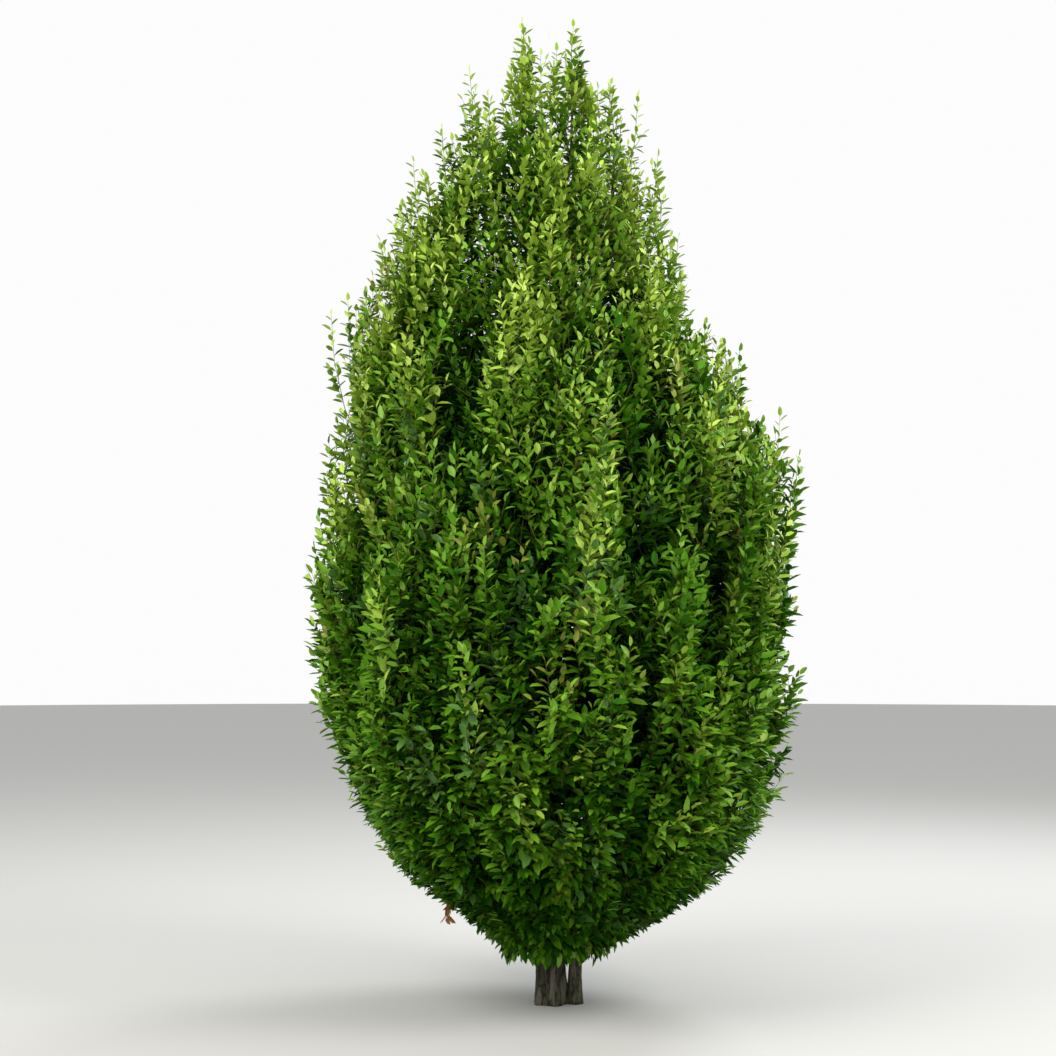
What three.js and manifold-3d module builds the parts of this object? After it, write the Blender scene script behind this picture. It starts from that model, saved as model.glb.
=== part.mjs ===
// An upright hornbeam, planted in open ground and leafy almost to its foot. One short trunk runs up through
// the crown with a lesser stem beside it, steep boughs leave them all round, and each bough ends in a mass
// of foliage. The crown is an egg with its wide part low down and several pointed leaders at the top.
// Millimetres, +Z up, origin in the middle of the trunk's flat cut at ground level. +X is the right-hand
// side of the photographed view and +Y points away from the viewer.

import * as THREE from "three";
import { mergeVertices } from "three/addons/utils/BufferGeometryUtils.js";
import Module from "manifold-3d";

const wasm = await Module();
wasm.setup();

// The crown's outline in the photographed view: height, reach to the left, reach to the right.
const OUTLINE = [
  [230, 150, 190],
  [420, 340, 470],
  [620, 640, 770],
  [1000, 950, 1080],
  [1450, 1190, 1190],
  [2000, 1160, 1215],
  [2500, 1080, 1210],
  [3000, 1090, 930],
  [3400, 960, 680],
  [3900, 700, 540],
  [4300, 480, 440],
  [4750, 230, 300],
];

// Trunk: its path from the ground to where it enters the leader's foliage, and its radius along it.
const TRUNK_PATH = [
  [0, 0, 0],
  [-30, 10, 900],
  [-45, 0, 1900],
  [-75, -10, 2900],
  [-98, 0, 3500],
];
const TRUNK_FOOT_RADIUS = 72;
const TRUNK_TIP_RADIUS = 17;
const TRUNK_TAPER = 0.85;
const FLARE_HEIGHT = 110;
const FLARE_SPREAD = 14;
const FLARE_BUTTRESSES = 5;
const TRUNK_SIDES = 15;
const TRUNK_RINGS = 11;

// The lesser stem, which leaves the ground close by the trunk's right-hand side.
const SECOND_STEM_FOOT = [112, -6, 0];
const SECOND_STEM_RADIUS = 33;

// Rings of foliage masses from the skirt upwards. height is the middle of the ring; turn is the angle of
// its first mass in degrees from +X; thick, wide, up and down are a mass's half depth, half width and its
// reach along its own axis; column is the bare space kept for the limbs round the trunk, which grows by
// widen for each millimetre above COLUMN_BASE; socket is how far below its middle a mass is entered; foot
// is the span of heights at which its limbs leave the trunk, and limb their radius there.
const RINGS = [
  {
    name: "skirt", count: 7, turn: 26, height: 700, thick: 290, wide: 460, up: 600, down: 760,
    column: 94, widen: 0.45, socket: 330, foot: [190, 270], limb: 20, bough: false,
  },
  {
    name: "low", count: 8, turn: 22.5, height: 1385, thick: 320, wide: 470, up: 640, down: 520,
    column: 190, widen: 0, socket: 420, foot: [390, 640], limb: 27, bough: true,
  },
  {
    name: "middle", count: 8, turn: 0, height: 2085, thick: 330, wide: 470, up: 680, down: 520,
    column: 200, widen: 0, socket: 430, foot: [820, 1180], limb: 25, bough: true,
  },
  {
    name: "high", count: 6, turn: 30, height: 2800, thick: 350, wide: 480, up: 700, down: 520,
    column: 150, widen: 0, socket: 420, foot: [1620, 2000], limb: 21, bough: true,
  },
  {
    name: "shoulder", count: 4, turn: 12, height: 3470, thick: 310, wide: 430, up: 680, down: 480,
    column: 60, widen: 0, socket: 380, foot: [2640, 2880], limb: 14, bough: false,
  },
];
const COLUMN_BASE = 400;
const TURN_JITTER = 5;
const HEIGHT_JITTER = 60;

// The leaders at the top: where each one's tip is, how far down its foliage starts, its half width, and
// the height at which its stem leaves the trunk.
const LEADERS = [
  { name: "leader", tip: [-140, 0, 4755], length: 1240, wide: 330, foot: null },
  { name: "second_leader", tip: [112, -60, 4710], length: 1240, wide: 320, foot: 3440 },
  { name: "third_leader", tip: [330, 70, 4460], length: 1080, wide: 320, foot: 3250 },
  { name: "fourth_leader", tip: [-390, 40, 4490], length: 1080, wide: 280, foot: 3330 },
];
const LEADER_STEM_RADIUS = 13;
const LEADER_HEART = 0.45;

// Foliage. A leaf stands for a spray of real ones. Heights count for less than widths when the crown is
// shared out, so that masses are taller than they are wide. Shares are of a mass's reach from its heart.
const HEIGHT_WEIGHT = 0.55;
const MASS_CLEARANCE = 3;
const LIMB_CLEARANCE = 4;
const CORE_SIDE_SHARE = 0.92;
const CORE_FACE_SHARE = 0.63;
const CORE_TOP_SHARE = 0.68;
const CORE_ROUGHNESS = 0.12;
const SHOOTS = 5;
const SHOOT_LEANS = [0.95, 0.35];
const LEADER_SHOOT_LEANS = [0.7, 0];
const SHOOT_ROOT = 0.2;
const SHOOT_LENGTH = 0.13;
const TWIG_RADII = [10, 8];
const LEAF_LENGTH = 290;
const LEAF_WIDTH = 165;
const LEAF_THICKNESS = 7;
const LEAF_KEEL = 12;
const LEAF_WIDEST = 0.45;
const LEAF_RISE = 2.2;
const LEAF_SHRINK = 0.86;
const LEAF_TRIES = 10;
const LEAF_GAP = 2;
const TIP_LEAF_SINK = 14;
const SIDE_LEAF_SINK = 3;
const SIDE_LEAVES = [
  { place: 0.9, swing: 50 },
  { place: 0.78, swing: -55 },
];

const JOINT_GAP = 0.3;
const SMOOTHING = 0.8;
const BOUGH_SIDES = 5;
const BOUGH_RINGS = 3;
const BOUGH_TIP_SHARE = 0.55;
const STEM_SIDES = 4;
const STEM_RINGS = 2;
const TWIG_SIDES = 3;
const GOLDEN_ANGLE = Math.PI * (3 - Math.sqrt(5));
const UP = new THREE.Vector3(0, 0, 1);
const KNOB_MIX = new THREE.Vector3(3.1, 5.3, 7.7);
const BARK = { color: 0x6f6a5c, roughness: 0.9, metalness: 0 };
const FOLIAGE = { color: 0x4c7a22, roughness: 0.6, metalness: 0 };

const vector = (p) => new THREE.Vector3(...p);

// A number from 0 to 1 that is always the same for the same key.
function chance(key) {
  const wave = Math.sin(key * 12.9898 + 78.233) * 43758.5453;
  return wave - Math.floor(wave);
}

// How far the crown reaches from its axis at a height, in the direction of an angle in radians.
function crownReach(angle, height) {
  const last = OUTLINE.length - 1;
  const z = THREE.MathUtils.clamp(height, OUTLINE[0][0], OUTLINE[last][0]);
  let row = 0;
  while (row < last - 1 && OUTLINE[row + 1][0] < z) row += 1;
  const [z0, left0, right0] = OUTLINE[row];
  const [z1, left1, right1] = OUTLINE[row + 1];
  const share = (z - z0) / (z1 - z0);
  const left = THREE.MathUtils.lerp(left0, left1, share);
  const right = THREE.MathUtils.lerp(right0, right1, share);
  return THREE.MathUtils.lerp(left, right, (1 + Math.cos(angle)) / 2);
}

// A closed three.js geometry as a solid.
function solidOf(geometry) {
  const bare = geometry.index ? geometry.toNonIndexed() : geometry.clone();
  bare.deleteAttribute("normal");
  bare.deleteAttribute("uv");
  const merged = mergeVertices(bare, 1e-3);
  return new wasm.Manifold(
    new wasm.Mesh({
      numProp: 3,
      vertProperties: merged.attributes.position.array,
      triVerts: new Uint32Array(merged.index.array),
    }),
  );
}

// A solid as a three.js geometry.
function geometryOf(solid) {
  const mesh = solid.getMesh();
  const geometry = new THREE.BufferGeometry();
  geometry.setAttribute("position", new THREE.BufferAttribute(mesh.vertProperties, 3));
  geometry.setIndex(new THREE.BufferAttribute(mesh.triVerts, 1));
  geometry.computeVertexNormals();
  return geometry;
}

function largestBody(solid) {
  const bodies = solid.decompose();
  bodies.sort((a, b) => b.volume() - a.volume());
  return bodies[0];
}

// A cylinder bent along a curve. radiusAt(share, angle) gives its radius; its ends are flat.
function limb(curve, radiusAt, sides, rings) {
  const cylinder = new THREE.CylinderGeometry(1, 1, 1, sides, rings);
  const position = cylinder.attributes.position;
  for (let i = 0; i < position.count; i += 1) {
    const share = position.getY(i) + 0.5;
    const across = position.getX(i);
    const along = position.getZ(i);
    const middle = curve.getPoint(share);
    const tangent = curve.getTangent(share);
    const side = new THREE.Vector3(1, 0, 0).addScaledVector(tangent, -tangent.x).normalize();
    const front = tangent.clone().cross(side);
    const radius = radiusAt(share, Math.atan2(-along, across));
    middle.addScaledVector(side, across * radius).addScaledVector(front, -along * radius);
    position.setXYZ(i, middle.x, middle.y, middle.z);
  }
  return solidOf(cylinder);
}

const taper = (from, to) => (share) => THREE.MathUtils.lerp(from, to, share);

// The trunk, with its buttresses at the foot. extra widens it evenly all over.
const trunkCurve = new THREE.CatmullRomCurve3(TRUNK_PATH.map(vector));
const trunkHeight = TRUNK_PATH[TRUNK_PATH.length - 1][2];

function trunkRadius(share) {
  return THREE.MathUtils.lerp(TRUNK_FOOT_RADIUS, TRUNK_TIP_RADIUS, share ** TRUNK_TAPER);
}

function trunkSolid(extra) {
  const radiusAt = (share, angle) => {
    const flare = Math.exp((-share * trunkHeight) / FLARE_HEIGHT) * FLARE_SPREAD;
    return trunkRadius(share) + flare * (1 + 0.7 * Math.cos(FLARE_BUTTRESSES * angle)) + extra;
  };
  const flatFoot = new THREE.CatmullRomCurve3(TRUNK_PATH.map(vector));
  flatFoot.getTangent = (share, target) =>
    share === 0 ? UP.clone() : trunkCurve.getTangent(share, target);
  return limb(flatFoot, radiusAt, TRUNK_SIDES, TRUNK_RINGS);
}

// The point of the trunk's axis at a height.
function onTrunk(height) {
  let low = 0;
  let high = 1;
  for (let i = 0; i < 30; i += 1) {
    const middle = (low + high) / 2;
    if (trunkCurve.getPoint(middle).z < height) low = middle;
    else high = middle;
  }
  return trunkCurve.getPoint(low);
}

// One ring's mass: its heart, its own axes (out, across, along), and the socket where its stem starts.
// It leans with the crown's outline, outwards below the widest part and inwards above it.
function ringMass(ring, index, key) {
  const turn = ring.turn + (360 * index) / ring.count + TURN_JITTER * (2 * chance(key) - 1);
  const angle = THREE.MathUtils.degToRad(turn);
  const height = ring.height + HEIGHT_JITTER * (2 * chance(key + 0.5) - 1);
  const radial = new THREE.Vector3(Math.cos(angle), Math.sin(angle), 0);
  const step = 200;
  const slope = (crownReach(angle, height + step) - crownReach(angle, height - step)) / (2 * step);
  const along = radial.clone().multiplyScalar(slope).add(UP).normalize();
  const across = UP.clone().cross(radial);
  const out = across.clone().cross(along);
  const face = radial.clone().multiplyScalar(crownReach(angle, height)).setZ(height);
  const heart = face.addScaledVector(out, -ring.thick * 0.95);
  const inward = ring.column + 90;
  const socket = radial.clone().multiplyScalar(inward).setZ(heart.z - ring.socket);
  const share = ((index * 3) % ring.count) / ring.count;
  const foot = THREE.MathUtils.lerp(ring.foot[0], ring.foot[1], share);
  return {
    name: `${ring.name}_foliage_${index + 1}`, key, ring, radial, heart, out, across, along, facing: out,
    socket, foot, thick: ring.thick, wide: ring.wide, up: ring.up, down: ring.down,
    column: ring.column, widen: ring.widen, limbRadius: ring.limb, underCrown: true,
  };
}

// One leader: a narrow upright flame that the crown's outline doesn't clip.
function leaderMass(leader, key) {
  const tip = vector(leader.tip);
  const start = onTrunk(leader.foot === null ? trunkHeight : leader.foot);
  const base = start.clone().lerp(tip.clone().setZ(tip.z - leader.length), 0.9).setZ(tip.z - leader.length);
  const along = tip.clone().sub(base).normalize();
  const across = along.clone().cross(new THREE.Vector3(1, 0, 0)).normalize();
  const out = across.clone().cross(along);
  const heart = base.clone().lerp(tip, LEADER_HEART);
  return {
    name: `${leader.name}_foliage`, key, heart, out, across, along, facing: along,
    foot: leader.foot, thick: leader.wide, wide: leader.wide,
    up: tip.distanceTo(heart), down: base.distanceTo(heart) * 0.95,
    limbRadius: LEADER_STEM_RADIUS, underCrown: false,
  };
}

const masses = [];
RINGS.forEach((ring) => {
  for (let i = 0; i < ring.count; i += 1) masses.push(ringMass(ring, i, masses.length + 1));
});
LEADERS.forEach((leader) => masses.push(leaderMass(leader, masses.length + 1)));

// The planes that part each mass from the others, in a space where heights count for less.
const weigh = (p) => new THREE.Vector3(p.x, p.y, p.z * HEIGHT_WEIGHT);
masses.forEach((mass) => {
  mass.walls = masses
    .filter((other) => other !== mass)
    .map((other) => {
      const here = weigh(mass.heart);
      const there = weigh(other.heart);
      const middle = here.clone().add(there).multiplyScalar(0.5);
      const weighed = weigh(there.sub(here));
      const length = weighed.length();
      return { normal: weighed.divideScalar(length), offset: middle.dot(there) / length };
    });
});

// Whether a point lies in a mass's own space: between its walls, outside the limbs' column, inside its own
// flame shape and inside the crown's outline.
function inSpace(mass, p) {
  if (mass.walls.some((wall) => wall.normal.dot(p) > wall.offset - MASS_CLEARANCE)) return false;
  if (mass.underCrown) {
    if (p.dot(mass.radial) < mass.column + mass.widen * (p.z - COLUMN_BASE)) return false;
    if (Math.hypot(p.x, p.y) > crownReach(Math.atan2(p.y, p.x), p.z)) return false;
    if (p.z < OUTLINE[0][0]) return false;
  }
  const local = p.clone().sub(mass.heart);
  const height = local.dot(mass.along);
  const share = height > 0 ? height / mass.up : -height / mass.down;
  if (share >= 1) return false;
  const girth = height > 0 ? (1 - share ** 1.6) ** 0.9 : Math.sqrt(1 - share ** 2.5);
  return Math.hypot(local.dot(mass.out) / mass.thick, local.dot(mass.across) / mass.wide) <= girth;
}

// How far a mass's space reaches from its heart in a direction.
function spaceReach(mass, direction) {
  let low = 0;
  let high = mass.up + mass.down;
  for (let i = 0; i < 16; i += 1) {
    const middle = (low + high) / 2;
    if (inSpace(mass, mass.heart.clone().addScaledVector(direction, middle))) low = middle;
    else high = middle;
  }
  return low;
}

// A limb from the trunk to a mass's socket: it leaves outwards and bends upwards.
function limbCurve(from, to, lean) {
  const bend = from.clone().lerp(to, 0.5);
  bend.addScaledVector(to.clone().sub(from).setZ(0), lean);
  return new THREE.QuadraticBezierCurve3(from, bend, to);
}

const nodes = new THREE.Group();
const trunk = trunkSolid(0);
const trunkWithGap = trunkSolid(JOINT_GAP / Math.cos(Math.PI / TRUNK_SIDES));
const limbs = [trunk];

function addNode(name, solid, look) {
  const material = new THREE.MeshStandardMaterial(look);
  const mesh = new THREE.Mesh(geometryOf(solid), material);
  mesh.name = name;
  nodes.add(mesh);
}

addNode("trunk", trunk, BARK);

// Boughs. Each is one tapering limb from the trunk to its mass's socket; the lesser stem stands in for the
// bough of the middle mass on the right-hand side and starts at the ground.
masses
  .filter((mass) => mass.ring && mass.ring.bough)
  .forEach((mass) => {
    const isStem = mass.name === "middle_foliage_1";
    const from = isStem ? vector(SECOND_STEM_FOOT) : onTrunk(mass.foot);
    const curve = isStem
      ? new THREE.CubicBezierCurve3(
          from,
          from.clone().setZ(mass.socket.z * 0.45),
          mass.socket.clone().lerp(from, 0.45).setZ(mass.socket.z * 0.6),
          mass.socket,
        )
      : limbCurve(from, mass.socket, 0.1);
    const radius = isStem ? SECOND_STEM_RADIUS : mass.limbRadius;
    const tipRadius = mass.limbRadius * BOUGH_TIP_SHARE;
    if (isStem) {
      const bent = curve.getTangent.bind(curve);
      curve.getTangent = (share, target) => (share === 0 ? UP.clone() : bent(share, target));
    }
    const rings = isStem ? BOUGH_RINGS * 2 : BOUGH_RINGS;
    const whole = limb(curve, taper(radius, tipRadius), BOUGH_SIDES, rings);
    const bough = largestBody(whole.subtract(trunkWithGap));
    mass.stemTangent = curve.getTangent(1);
    mass.stemRadius = tipRadius;
    limbs.push(bough);
    addNode(isStem ? "second_stem" : mass.name.replace("foliage", "bough"), bough, BARK);
  });

// Each mass's stem: from its bough's tip, or out of the trunk, to its heart inside the core.
masses.forEach((mass) => {
  const onBough = Boolean(mass.stemTangent);
  const atTip = mass.foot === null;
  const tangent = onBough ? mass.stemTangent : trunkCurve.getTangent(1);
  const start = onBough ? mass.socket.clone() : onTrunk(atTip ? trunkHeight : mass.foot);
  mass.straight = onBough || atTip;
  if (mass.straight) start.addScaledVector(tangent, JOINT_GAP);
  if (atTip) mass.stemRadius = TRUNK_TIP_RADIUS;
  const curve = mass.straight
    ? new THREE.QuadraticBezierCurve3(
        start,
        start.clone().addScaledVector(tangent, start.distanceTo(mass.heart) * 0.45),
        mass.heart,
      )
    : limbCurve(start, mass.heart, 0.08);
  const radius = mass.stemRadius || mass.limbRadius;
  const whole = limb(curve, taper(radius, TWIG_RADII[0]), STEM_SIDES, STEM_RINGS);
  mass.stem = mass.straight ? whole : largestBody(whole.subtract(trunkWithGap));
});

// The share of a mass's space that its core takes up in a direction: nearly all of it towards its
// neighbours, and less on its open side, where leaves stand out.
function coreShare(mass, direction) {
  const rise = Math.max(0, direction.dot(mass.along));
  const open = mass.ring ? Math.max(0, direction.dot(mass.out)) : 1 - Math.abs(direction.dot(mass.along));
  const share = THREE.MathUtils.lerp(CORE_SIDE_SHARE, CORE_FACE_SHARE, open);
  return THREE.MathUtils.lerp(share, Math.min(share, CORE_TOP_SHARE), rise * rise);
}

// A mass's core: a closed, knobbly shell round its heart.
function coreOf(mass) {
  const shell = new THREE.IcosahedronGeometry(1, 1);
  const position = shell.attributes.position;
  for (let i = 0; i < position.count; i += 1) {
    const direction = new THREE.Vector3().fromBufferAttribute(position, i);
    const knob = 1 - CORE_ROUGHNESS * chance(direction.dot(KNOB_MIX) + mass.key);
    const world = mass.out.clone().multiplyScalar(direction.x);
    world.addScaledVector(mass.across, direction.y).addScaledVector(mass.along, direction.z).normalize();
    const reach = spaceReach(mass, world) * coreShare(mass, world) * knob;
    const p = mass.heart.clone().addScaledVector(world, reach);
    position.setXYZ(i, p.x, p.y, p.z);
  }
  return solidOf(shell);
}

// A leaf: an eight-faced blade with a keel, from its root along a direction, its face towards a normal.
function leafCorners(root, direction, normal, length) {
  const side = direction.clone().cross(normal).normalize();
  const face = side.clone().cross(direction).normalize();
  const width = (LEAF_WIDTH * length) / LEAF_LENGTH;
  const widest = root.clone().addScaledVector(direction, length * LEAF_WIDEST);
  return [
    root.clone().addScaledVector(direction, length),
    root.clone(),
    widest.clone().addScaledVector(side, -width / 2).addScaledVector(face, LEAF_KEEL),
    widest.clone().addScaledVector(side, width / 2).addScaledVector(face, LEAF_KEEL),
    widest.clone().addScaledVector(face, LEAF_THICKNESS / 2),
    widest.clone().addScaledVector(face, -LEAF_THICKNESS / 2 - LEAF_KEEL * 0.4),
  ];
}

function leafSolid(corners) {
  const blade = new THREE.OctahedronGeometry(1, 0);
  const position = blade.attributes.position;
  for (let i = 0; i < position.count; i += 1) {
    const [x, y, z] = [position.getX(i), position.getY(i), position.getZ(i)];
    const corner = [x > 0.5, x < -0.5, y > 0.5, y < -0.5, z > 0.5, z < -0.5].indexOf(true);
    position.setXYZ(i, ...corners[corner].toArray());
  }
  return solidOf(blade);
}

// Adds a leaf to a mass, shorter where its tip would leave the mass's space or it would cross the core or
// another leaf, or none if it never fits.
function addLeaf(mass, core, leaves, barrier, root, heading, normal) {
  for (let i = 0; i < LEAF_TRIES; i += 1) {
    const corners = leafCorners(root, heading, normal, LEAF_LENGTH * LEAF_SHRINK ** i);
    if (!corners.every((corner) => inSpace(mass, corner))) continue;
    const leaf = leafSolid(corners);
    if (barrier.minGap(leaf, LIMB_CLEARANCE) < LIMB_CLEARANCE) continue;
    if ([core, ...leaves].some((other) => other.minGap(leaf, LEAF_GAP) < LEAF_GAP)) continue;
    leaves.push(leaf);
    return;
  }
}

// The directions in which a mass's shoots head, seen from its heart: one up its own axis, and the rest
// spread evenly round the way it faces.
function shootDirections(mass) {
  const directions = [mass.along];
  const first = mass.ring ? mass.across : mass.out;
  const second = first.clone().cross(mass.facing);
  const leans = mass.ring ? SHOOT_LEANS : LEADER_SHOOT_LEANS;
  for (let k = 1; k < SHOOTS; k += 1) {
    const lean = THREE.MathUtils.lerp(...leans, (k - 1) / (SHOOTS - 2));
    const round = k * GOLDEN_ANGLE + mass.key;
    const spread = Math.sqrt(1 - lean * lean);
    const direction = mass.facing.clone().multiplyScalar(lean);
    direction.addScaledVector(first, spread * Math.cos(round));
    direction.addScaledVector(second, spread * Math.sin(round));
    directions.push(direction.normalize());
  }
  return directions;
}

// Shoots and their leaves. Each shoot is a twig out of the core with a leaf at its tip and one on either
// side, turned upwards as they grow and spread like a fan.
function shootsOf(mass, core, barrier) {
  const twigs = [];
  const leaves = [];
  shootDirections(mass).forEach((direction) => {
    const reach = spaceReach(mass, direction);
    const share = coreShare(mass, direction);
    const from = mass.heart.clone().addScaledVector(direction, reach * (share - SHOOT_ROOT));
    const to = mass.heart.clone().addScaledVector(direction, reach * (share + SHOOT_LENGTH));
    const twig = limb(new THREE.LineCurve3(from, to), taper(...TWIG_RADII), TWIG_SIDES, 1);
    if (barrier.minGap(twig, LIMB_CLEARANCE) < LIMB_CLEARANCE) return;
    twigs.push(twig);
    const heading = direction.clone().addScaledVector(UP, LEAF_RISE).normalize();
    const side = UP.clone().cross(direction);
    if (side.length() < 0.5) side.copy(mass.across);
    const normal = heading.clone().cross(side.normalize());
    const tipRoot = to.clone().addScaledVector(direction, -TIP_LEAF_SINK);
    addLeaf(mass, core, leaves, barrier, tipRoot, heading, normal);
    SIDE_LEAVES.forEach(({ place, swing }) => {
      const way = heading.clone().applyAxisAngle(normal, THREE.MathUtils.degToRad(swing));
      const root = from.clone().lerp(to, place).addScaledVector(way, -SIDE_LEAF_SINK);
      addLeaf(mass, core, leaves, barrier, root, way, normal);
    });
  });
  return [...twigs, ...leaves];
}

masses.forEach((mass) => {
  const others = masses.filter((other) => other !== mass).map((other) => other.stem);
  const barrier = wasm.Manifold.compose([...limbs, ...others]);
  const core = coreOf(mass);
  const pieces = [mass.stem, core, ...shootsOf(mass, core, barrier)];
  let whole = wasm.Manifold.union(pieces).simplify(SMOOTHING);
  if (!mass.straight) whole = whole.subtract(trunkWithGap);
  addNode(mass.name, largestBody(whole), FOLIAGE);
});

export default nodes;
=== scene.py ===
import math
from types import SimpleNamespace

import bmesh
import bpy
import numpy as np
from mathutils import Matrix, Vector, noise


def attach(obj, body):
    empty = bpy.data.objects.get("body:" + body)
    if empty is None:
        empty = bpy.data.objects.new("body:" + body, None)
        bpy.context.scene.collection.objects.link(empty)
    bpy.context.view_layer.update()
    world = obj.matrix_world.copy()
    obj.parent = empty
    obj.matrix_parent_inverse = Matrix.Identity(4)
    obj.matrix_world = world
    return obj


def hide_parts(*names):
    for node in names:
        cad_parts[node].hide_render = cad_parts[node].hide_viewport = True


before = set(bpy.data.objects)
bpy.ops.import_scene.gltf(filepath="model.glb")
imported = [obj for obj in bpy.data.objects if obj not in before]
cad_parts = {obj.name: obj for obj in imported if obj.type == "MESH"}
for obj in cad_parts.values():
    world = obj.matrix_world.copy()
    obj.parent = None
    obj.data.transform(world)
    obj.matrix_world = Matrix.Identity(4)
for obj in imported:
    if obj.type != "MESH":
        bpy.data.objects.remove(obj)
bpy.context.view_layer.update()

# Camera. The photograph was taken from 8.2 m in front of the tree and 1.6 m above the ground, and looks
# up a little so that the whole crown is in the frame.
UPWARD_TILT = 4.54
photo_camera_data = bpy.data.cameras.new("photo_camera")
photo_camera_data.sensor_width = 36
photo_camera_data.lens = 57.95
photo_camera = bpy.data.objects.new("photo_camera", photo_camera_data)
photo_camera.location = (-0.11, -8.18, 1.6)
photo_camera.rotation_euler = (math.radians(90 + UPWARD_TILT), 0, 0)
bpy.context.scene.collection.objects.link(photo_camera)
bpy.context.scene.camera = photo_camera

# Trunk. The real one is grey-brown hornbeam wood under fluted, fissured bark, and it widens in five low
# buttresses where it enters the ground. It runs up through the crown to the leader, rooted, with no joint.
TRUNK_PATH = np.array(
    [
        [0, 0, 0],
        [-0.03, 0.01, 0.9],
        [-0.045, 0, 1.9],
        [-0.075, -0.01, 2.9],
        [-0.098, 0, 3.5],
    ]
)
TRUNK_HEIGHT = 3.5
TRUNK_FOOT_RADIUS = 0.072
TRUNK_TIP_RADIUS = 0.017
TRUNK_TAPER = 0.85
FLARE_HEIGHT = 0.11
FLARE_SPREAD = 0.014
FLARE_BUTTRESSES = 5
BUTTRESS_DEPTH = 0.7
TRUNK_SIDES = 72
# The bark is cut in fine steps where it shows, under the foliage, and in coarser ones further up.
SHOWN_HEIGHT = 0.72
SHOWN_STEP = 0.012
HIDDEN_STEP = 0.026
# The bark's relief is noise that changes less along the limb than across it: cracks with sharp edges, grain
# that is so many times finer than the cracks and shallower by a share, and broad flutes.
FISSURE_STRETCH = 0.16
CRACK_SHARPNESS = 3.2
GRAIN_FINENESS = 2.9
GRAIN_DEPTH = 0.4
FLUTES_ACROSS = 11
FLUTES_ALONG = 1.3
UP = np.array([0.0, 0.0, 1.0])


def unit(vector):
    return vector / np.linalg.norm(vector, axis=-1, keepdims=True)


def lerp(start, end, share):
    return start + (end - start) * share


def trunk_axis_points(count):
    """Points along the trunk's axis: a smooth centripetal curve through TRUNK_PATH."""
    before = 2 * TRUNK_PATH[0] - TRUNK_PATH[1]
    after = 2 * TRUNK_PATH[-1] - TRUNK_PATH[-2]
    path = np.vstack([before, TRUNK_PATH, after])
    found = []
    for t in np.linspace(0, len(TRUNK_PATH) - 1, count):
        row = min(int(t), len(TRUNK_PATH) - 2)
        p0, p1, p2, p3 = path[row : row + 4]
        d0, d1, d2 = (np.linalg.norm(b - a) ** 0.5 for a, b in ((p0, p1), (p1, p2), (p2, p3)))
        slope1 = ((p1 - p0) / d0 - (p2 - p0) / (d0 + d1) + (p2 - p1) / d1) * d1
        slope2 = ((p2 - p1) / d1 - (p3 - p1) / (d1 + d2) + (p3 - p2) / d2) * d1
        w = t - row
        bend = -3 * p1 + 3 * p2 - 2 * slope1 - slope2
        twist = 2 * p1 - 2 * p2 + slope1 + slope2
        found.append(p1 + slope1 * w + bend * w**2 + twist * w**3)
    return np.array(found)


TRUNK_AXIS = trunk_axis_points(400)


def on_trunk(height):
    """The point of the trunk's axis at a height."""
    z = np.clip(height, 0, TRUNK_HEIGHT)
    return np.stack([np.interp(z, TRUNK_AXIS[:, 2], TRUNK_AXIS[:, i]) for i in range(3)], axis=-1)


def trunk_radius(height):
    return lerp(TRUNK_FOOT_RADIUS, TRUNK_TIP_RADIUS, np.clip(height / TRUNK_HEIGHT, 0, 1) ** TRUNK_TAPER)


def ring_places(path, radii, flat_foot):
    """For each point of a limb's path, the matrix that lays a unit circle across the limb there."""
    tangents = unit(np.gradient(path, axis=0))
    if flat_foot:
        tangents[0] = UP
    places = []
    for point, tangent, radius in zip(path, tangents, radii):
        side = unit(np.array([1.0, 0, 0]) - tangent * tangent[0])
        front = np.cross(tangent, side)
        turned = Matrix(np.column_stack([side, front, tangent]).tolist()).to_4x4()
        places.append(Matrix.Translation(Vector(point)) @ turned @ Matrix.Diagonal((radius, radius, 1, 1)))
    return places


def draw_out_limb(shape, path, radii, sides, flat_foot=False):
    """Adds a limb to a bmesh: a circle drawn out ring by ring along the path, closed at both ends."""
    places = ring_places(path, radii, flat_foot)
    ring = bmesh.ops.create_circle(shape, cap_ends=True, radius=1, segments=sides)["verts"]
    foot_face = ring[0].link_faces[0]
    foot_face.normal_flip()
    edges = list(foot_face.edges)
    skin = list(ring)
    last_place = Matrix.Identity(4)
    for index, place in enumerate(places):
        if index:
            drawn = bmesh.ops.extrude_edge_only(shape, edges=edges)["geom"]
            ring = [part for part in drawn if isinstance(part, bmesh.types.BMVert)]
            edges = [part for part in drawn if isinstance(part, bmesh.types.BMEdge)]
            skin.extend(ring)
        bmesh.ops.transform(shape, matrix=place @ last_place.inverted(), verts=ring)
        last_place = place
    bmesh.ops.edgeloop_fill(shape, edges=edges)
    bmesh.ops.recalc_face_normals(shape, faces=list({face for vert in skin for face in vert.link_faces}))
    return skin


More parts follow.
